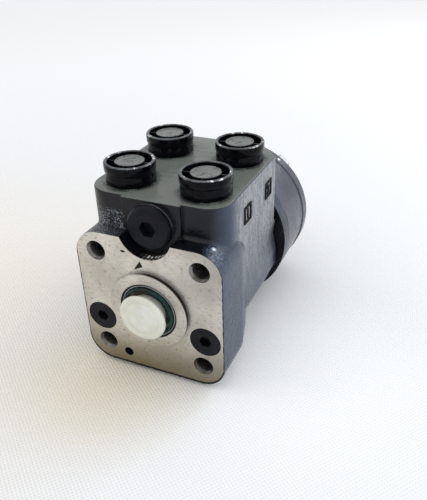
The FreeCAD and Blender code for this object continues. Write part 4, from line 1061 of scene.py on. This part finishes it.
# %% [markdown]
# Threads in the bolt holes
#
# Four M10 holes take the column's screws. CAD leaves their walls plain, and the ridges catch the light
# in the photograph, so each hole gets a turned liner with a zigzag section of 1.5 mm pitch. Rings look
# the same as a helix at this size and are quicker to make.

# %% Bolt threads
thread_pitch = 1.5
thread_turns = 9
thread_start = 1.4
thread_root = 4.22
thread_crest = 3.85
thread_steps = 40
thread_crease = math.radians(20.0)
thread_profile = ((thread_crest, 0.45), (thread_crest, 0.55), (thread_root, 0.95), (thread_root, 1.0))
thread_section = [(thread_root, thread_start)]
for turn in range(thread_turns):
    for radius, share in thread_profile:
        thread_section.append((radius, thread_start + thread_pitch * (turn + share)))


def thread_liner(name, across, up):
    liner = lathe(name, thread_section, (across, 0.0, up), shaft_axis, thread_steps)
    only(liner)
    bpy.ops.object.shade_smooth_by_angle(angle=thread_crease)
    return settle(liner, thread_steel, "unit")


for side, across in (("left", -half_bolt_span), ("right", half_bolt_span)):
    for level, up in (("low", -half_bolt_span), ("high", half_bolt_span)):
        thread_liner(f"bolt_thread_{level}_{side}", across, up)

# %% [markdown]
# Numbers in the label frames
#
# The raised frames on the side hold a plain number for each pair of ports. It could be cut by hand, but
# text is the quick way: it is given a little depth and weight, turned to a mesh, and laid on the face.

# %% Port numbers
number_size = 6.8
number_half_depth = 0.25
number_weight = 0.3
number_drop = 2.4

for number, along in (("1", frame_places["front"]), ("2", frame_places["rear"])):
    bpy.ops.object.select_all(action="DESELECT")
    spot = Vector((label_face + number_half_depth, along, frame_height - number_drop)) * mm
    bpy.ops.object.text_add(location=spot, rotation=(math.radians(90.0), 0.0, math.radians(90.0)))
    mark = bpy.context.view_layer.objects.active
    mark.name = "port_number_" + number
    mark.data.body = number
    mark.data.size = number_size * mm
    mark.data.align_x = "CENTER"
    mark.data.extrude = number_half_depth * mm
    mark.data.offset = number_weight * mm
    bpy.ops.object.convert(target="MESH")
    settle(mark, black_line, "unit")
    print(mark.name, len(mark.data.polygons), "faces")

# %% [markdown]
# The cloth
#
# The unit lies on pale woven cloth in front of a white wall. The cloth's colour carries painted light: it
# is warm on the left, as painted shade from the unit, with a painted shadow beside the machined face, and
# cool on the right, as painted daylight. Its weave is two crossed waves, which fade with distance before
# they can flicker. Far behind, a faint glow that only the camera sees turns it to plain white, and to the
# right of the unit such a glow is a painted light that lifts the shade, so that the unit's own light stays
# as it is.

# %% Cloth
floor_middle = 0.05
weave_turn = math.radians(38.0)
weave_scale = 185.0
floor_height = cad_low[2]
shaded_spot = (-24.0, -14.0, floor_height / mm)
bright_spot = (78.0, 30.0, floor_height / mm)


def weave(tree, place):
    turned = add(tree, "Mapping", {"Vector": place, "Rotation": (0.0, 0.0, weave_turn)}).outputs[0]
    threads = [add(tree, "TexWave", {"Vector": turned, "Scale": weave_scale, "Distortion": 0.6},
                   bands_direction=way).outputs["Fac"] for way in ("X", "Y")]
    return times(tree, *threads)


def cloth_painted_light(tree, place, across, along, away):
    # Painted light: warm where the unit shades the cloth, cool where the daylight falls.
    warm = times(tree, ramp(tree, across, 0.06, -0.16), ramp(tree, along, 0.30, 0.0))
    tint = blend_colour(tree, warm, (0.865, 0.88, 0.90), (0.87, 0.825, 0.75))
    tint = blend_colour(tree, ramp(tree, away, 0.25, 0.9), tint, (0.93, 0.935, 0.93))
    # A painted shadow beside the machined face.
    beside_face = near_to(tree, place, shaded_spot, 12.0, 62.0)
    return blend_colour(tree, times(tree, beside_face, 0.85), tint, (0.80, 0.73, 0.58))


def cloth():
    finish, tree, shader = new_finish("floor_cloth", (0.86, 0.86, 0.85), 0.9)
    place = own_place(tree)
    across, along, _ = own_axes(tree, place)
    away = length_of(tree, across, maths(tree, "SUBTRACT", along, floor_middle))
    woven = times(tree, weave(tree, place), ramp(tree, away, 0.7, 0.15))
    tint = cloth_painted_light(tree, place, across, along, away)
    thread = times(tree, woven, ramp(tree, across, 0.16, -0.1, 0.2, 0.5))
    relief = add(tree, "Bump", {"Height": woven, "Strength": 0.3, "Distance": 0.0006}).outputs["Normal"]
    wire(tree, shader, blend_colour(tree, thread, tint, (0.60, 0.58, 0.53)), normal=relief)

    far_glow = ramp(tree, away, 0.3, 4.0, 0.0, 0.15)
    # A painted light that lifts the shade to the right of the unit, seen by the camera alone.
    right_glow = times(tree, near_to(tree, place, bright_spot, 20.0, 80.0), 0.09)
    seen = add(tree, "LightPath").outputs["Is Camera Ray"]
    tree.links.new(times(tree, seen, plus(tree, far_glow, right_glow)), shader.inputs["Emission Strength"])
    shader.inputs["Emission Color"].default_value = (0.98, 0.99, 1.0, 1.0)
    return finish


floor_cloth = cloth()
print("floor cloth:", len(floor_cloth.node_tree.nodes), "nodes")

# %% [markdown]
# The studio floor
#
# The floor is one plane at the unit's lowest point, so large that its far edge is lost in the white of
# the world. It isn't part of the object.

# %% Floor
floor_side = 16.0

bpy.ops.object.select_all(action="DESELECT")
bpy.ops.mesh.primitive_plane_add(size=floor_side, location=(0.0, floor_middle, floor_height))
floor = bpy.context.view_layer.objects.active
floor.name = "floor_cloth"
bpy.ops.object.transform_apply(location=True, rotation=True, scale=True)
set_finish(floor, floor_cloth)
print("floor at", round(floor_height, 4))

# %% [markdown]
# The world
#
# The world is a plain pale sky that lights everything evenly. The camera sees it as full white, and so,
# nearly, do reflections, while it lights the object a little less. A white picture behind the unit would
# do the same, but it would show its edges in the glossy paint.

# %% World
sky_light = 0.89
sky_gloss = 0.7

world = bpy.data.worlds.new("studio")
bpy.context.scene.world = world
world.use_nodes = True
sky = world.node_tree
backdrop = sky.nodes["Background"]
backdrop.inputs["Color"].default_value = (0.965, 0.975, 1.0, 1.0)
rays = add(sky, "LightPath")
seen = plus(sky, rays.outputs["Is Camera Ray"], times(sky, rays.outputs["Is Glossy Ray"], sky_gloss))
level = add(sky, "MapRange", {"Value": seen, "To Min": sky_light, "To Max": 1.0}).outputs["Result"]
sky.links.new(level, backdrop.inputs["Strength"])
print("the world lights at", sky_light, "and is seen at 1.0")

# %% [markdown]
# Lamps
#
# Three soft boxes give the shapes of the reflections: a cool window behind on the right, a warm key over
# the machined face, and a small one that glints on the rims. They are areas and not points, because a
# soft edge to a shadow or a highlight comes from the lamp's size.

# %% Lamps
def softbox(name, target, direction, distance, size, power, colour):
    bpy.ops.object.select_all(action="DESELECT")
    way = Vector(direction).normalized()
    bpy.ops.object.light_add(type="AREA", location=Vector(target) + way * distance)
    lamp = bpy.context.view_layer.objects.active
    lamp.name = name
    lamp.rotation_euler = way.to_track_quat("Z", "Y").to_euler()
    lamp.data.shape = "RECTANGLE"
    lamp.data.size, lamp.data.size_y = size
    lamp.data.energy = power
    lamp.data.color = colour
    lamp.visible_camera = False
    return lamp


middle = (Vector(cad_low) + Vector(cad_high)) / 2.0
softbox("window", middle, (0.75, 0.55, 0.62), 1.1, (0.9, 0.7), 3.2, (0.94, 0.97, 1.0))
softbox("key", middle, (-0.45, -0.75, 1.1), 1.0, (1.1, 1.1), 1.9, (1.0, 0.98, 0.94))
softbox("glint", middle, (0.39, 0.78, 0.49), 1.1, (0.16, 0.16), 0.8, (0.95, 0.97, 1.0))

# %% [markdown]
# The camera
#
# The camera's place and lens come from the CAD: the four bolt holes lie on a known circle, so the
# photograph's viewpoint can be worked out and written down as a place, two angles and a slight roll. The
# place is in metres and the lens in millimetres. The view transform is the plain one, so that a colour
# renders about as it is written.

# %% Camera
eye = Vector((0.13287, -0.20889, 0.18057))
azimuth, elevation, roll = math.radians(24.65), math.radians(30.78), math.radians(-1.74)
focal_length = 42.1
sensor_width = 36.0
nearest = 0.01

back = Vector((math.sin(azimuth) * math.cos(elevation), -math.cos(azimuth) * math.cos(elevation),
               math.sin(elevation)))
bpy.ops.object.camera_add(location=eye)
camera = bpy.context.view_layer.objects.active
turn = back.to_track_quat("Z", "Y")
camera.rotation_euler = (turn @ Euler((0.0, 0.0, roll)).to_quaternion()).to_euler()
camera.data.sensor_width = sensor_width
camera.data.sensor_fit = "AUTO"
camera.data.lens = focal_length
camera.data.clip_start = nearest
bpy.context.scene.camera = camera
bpy.context.scene.view_settings.view_transform = "Standard"
print("camera is", round((eye - middle).length, 3), "m from the middle of the unit")
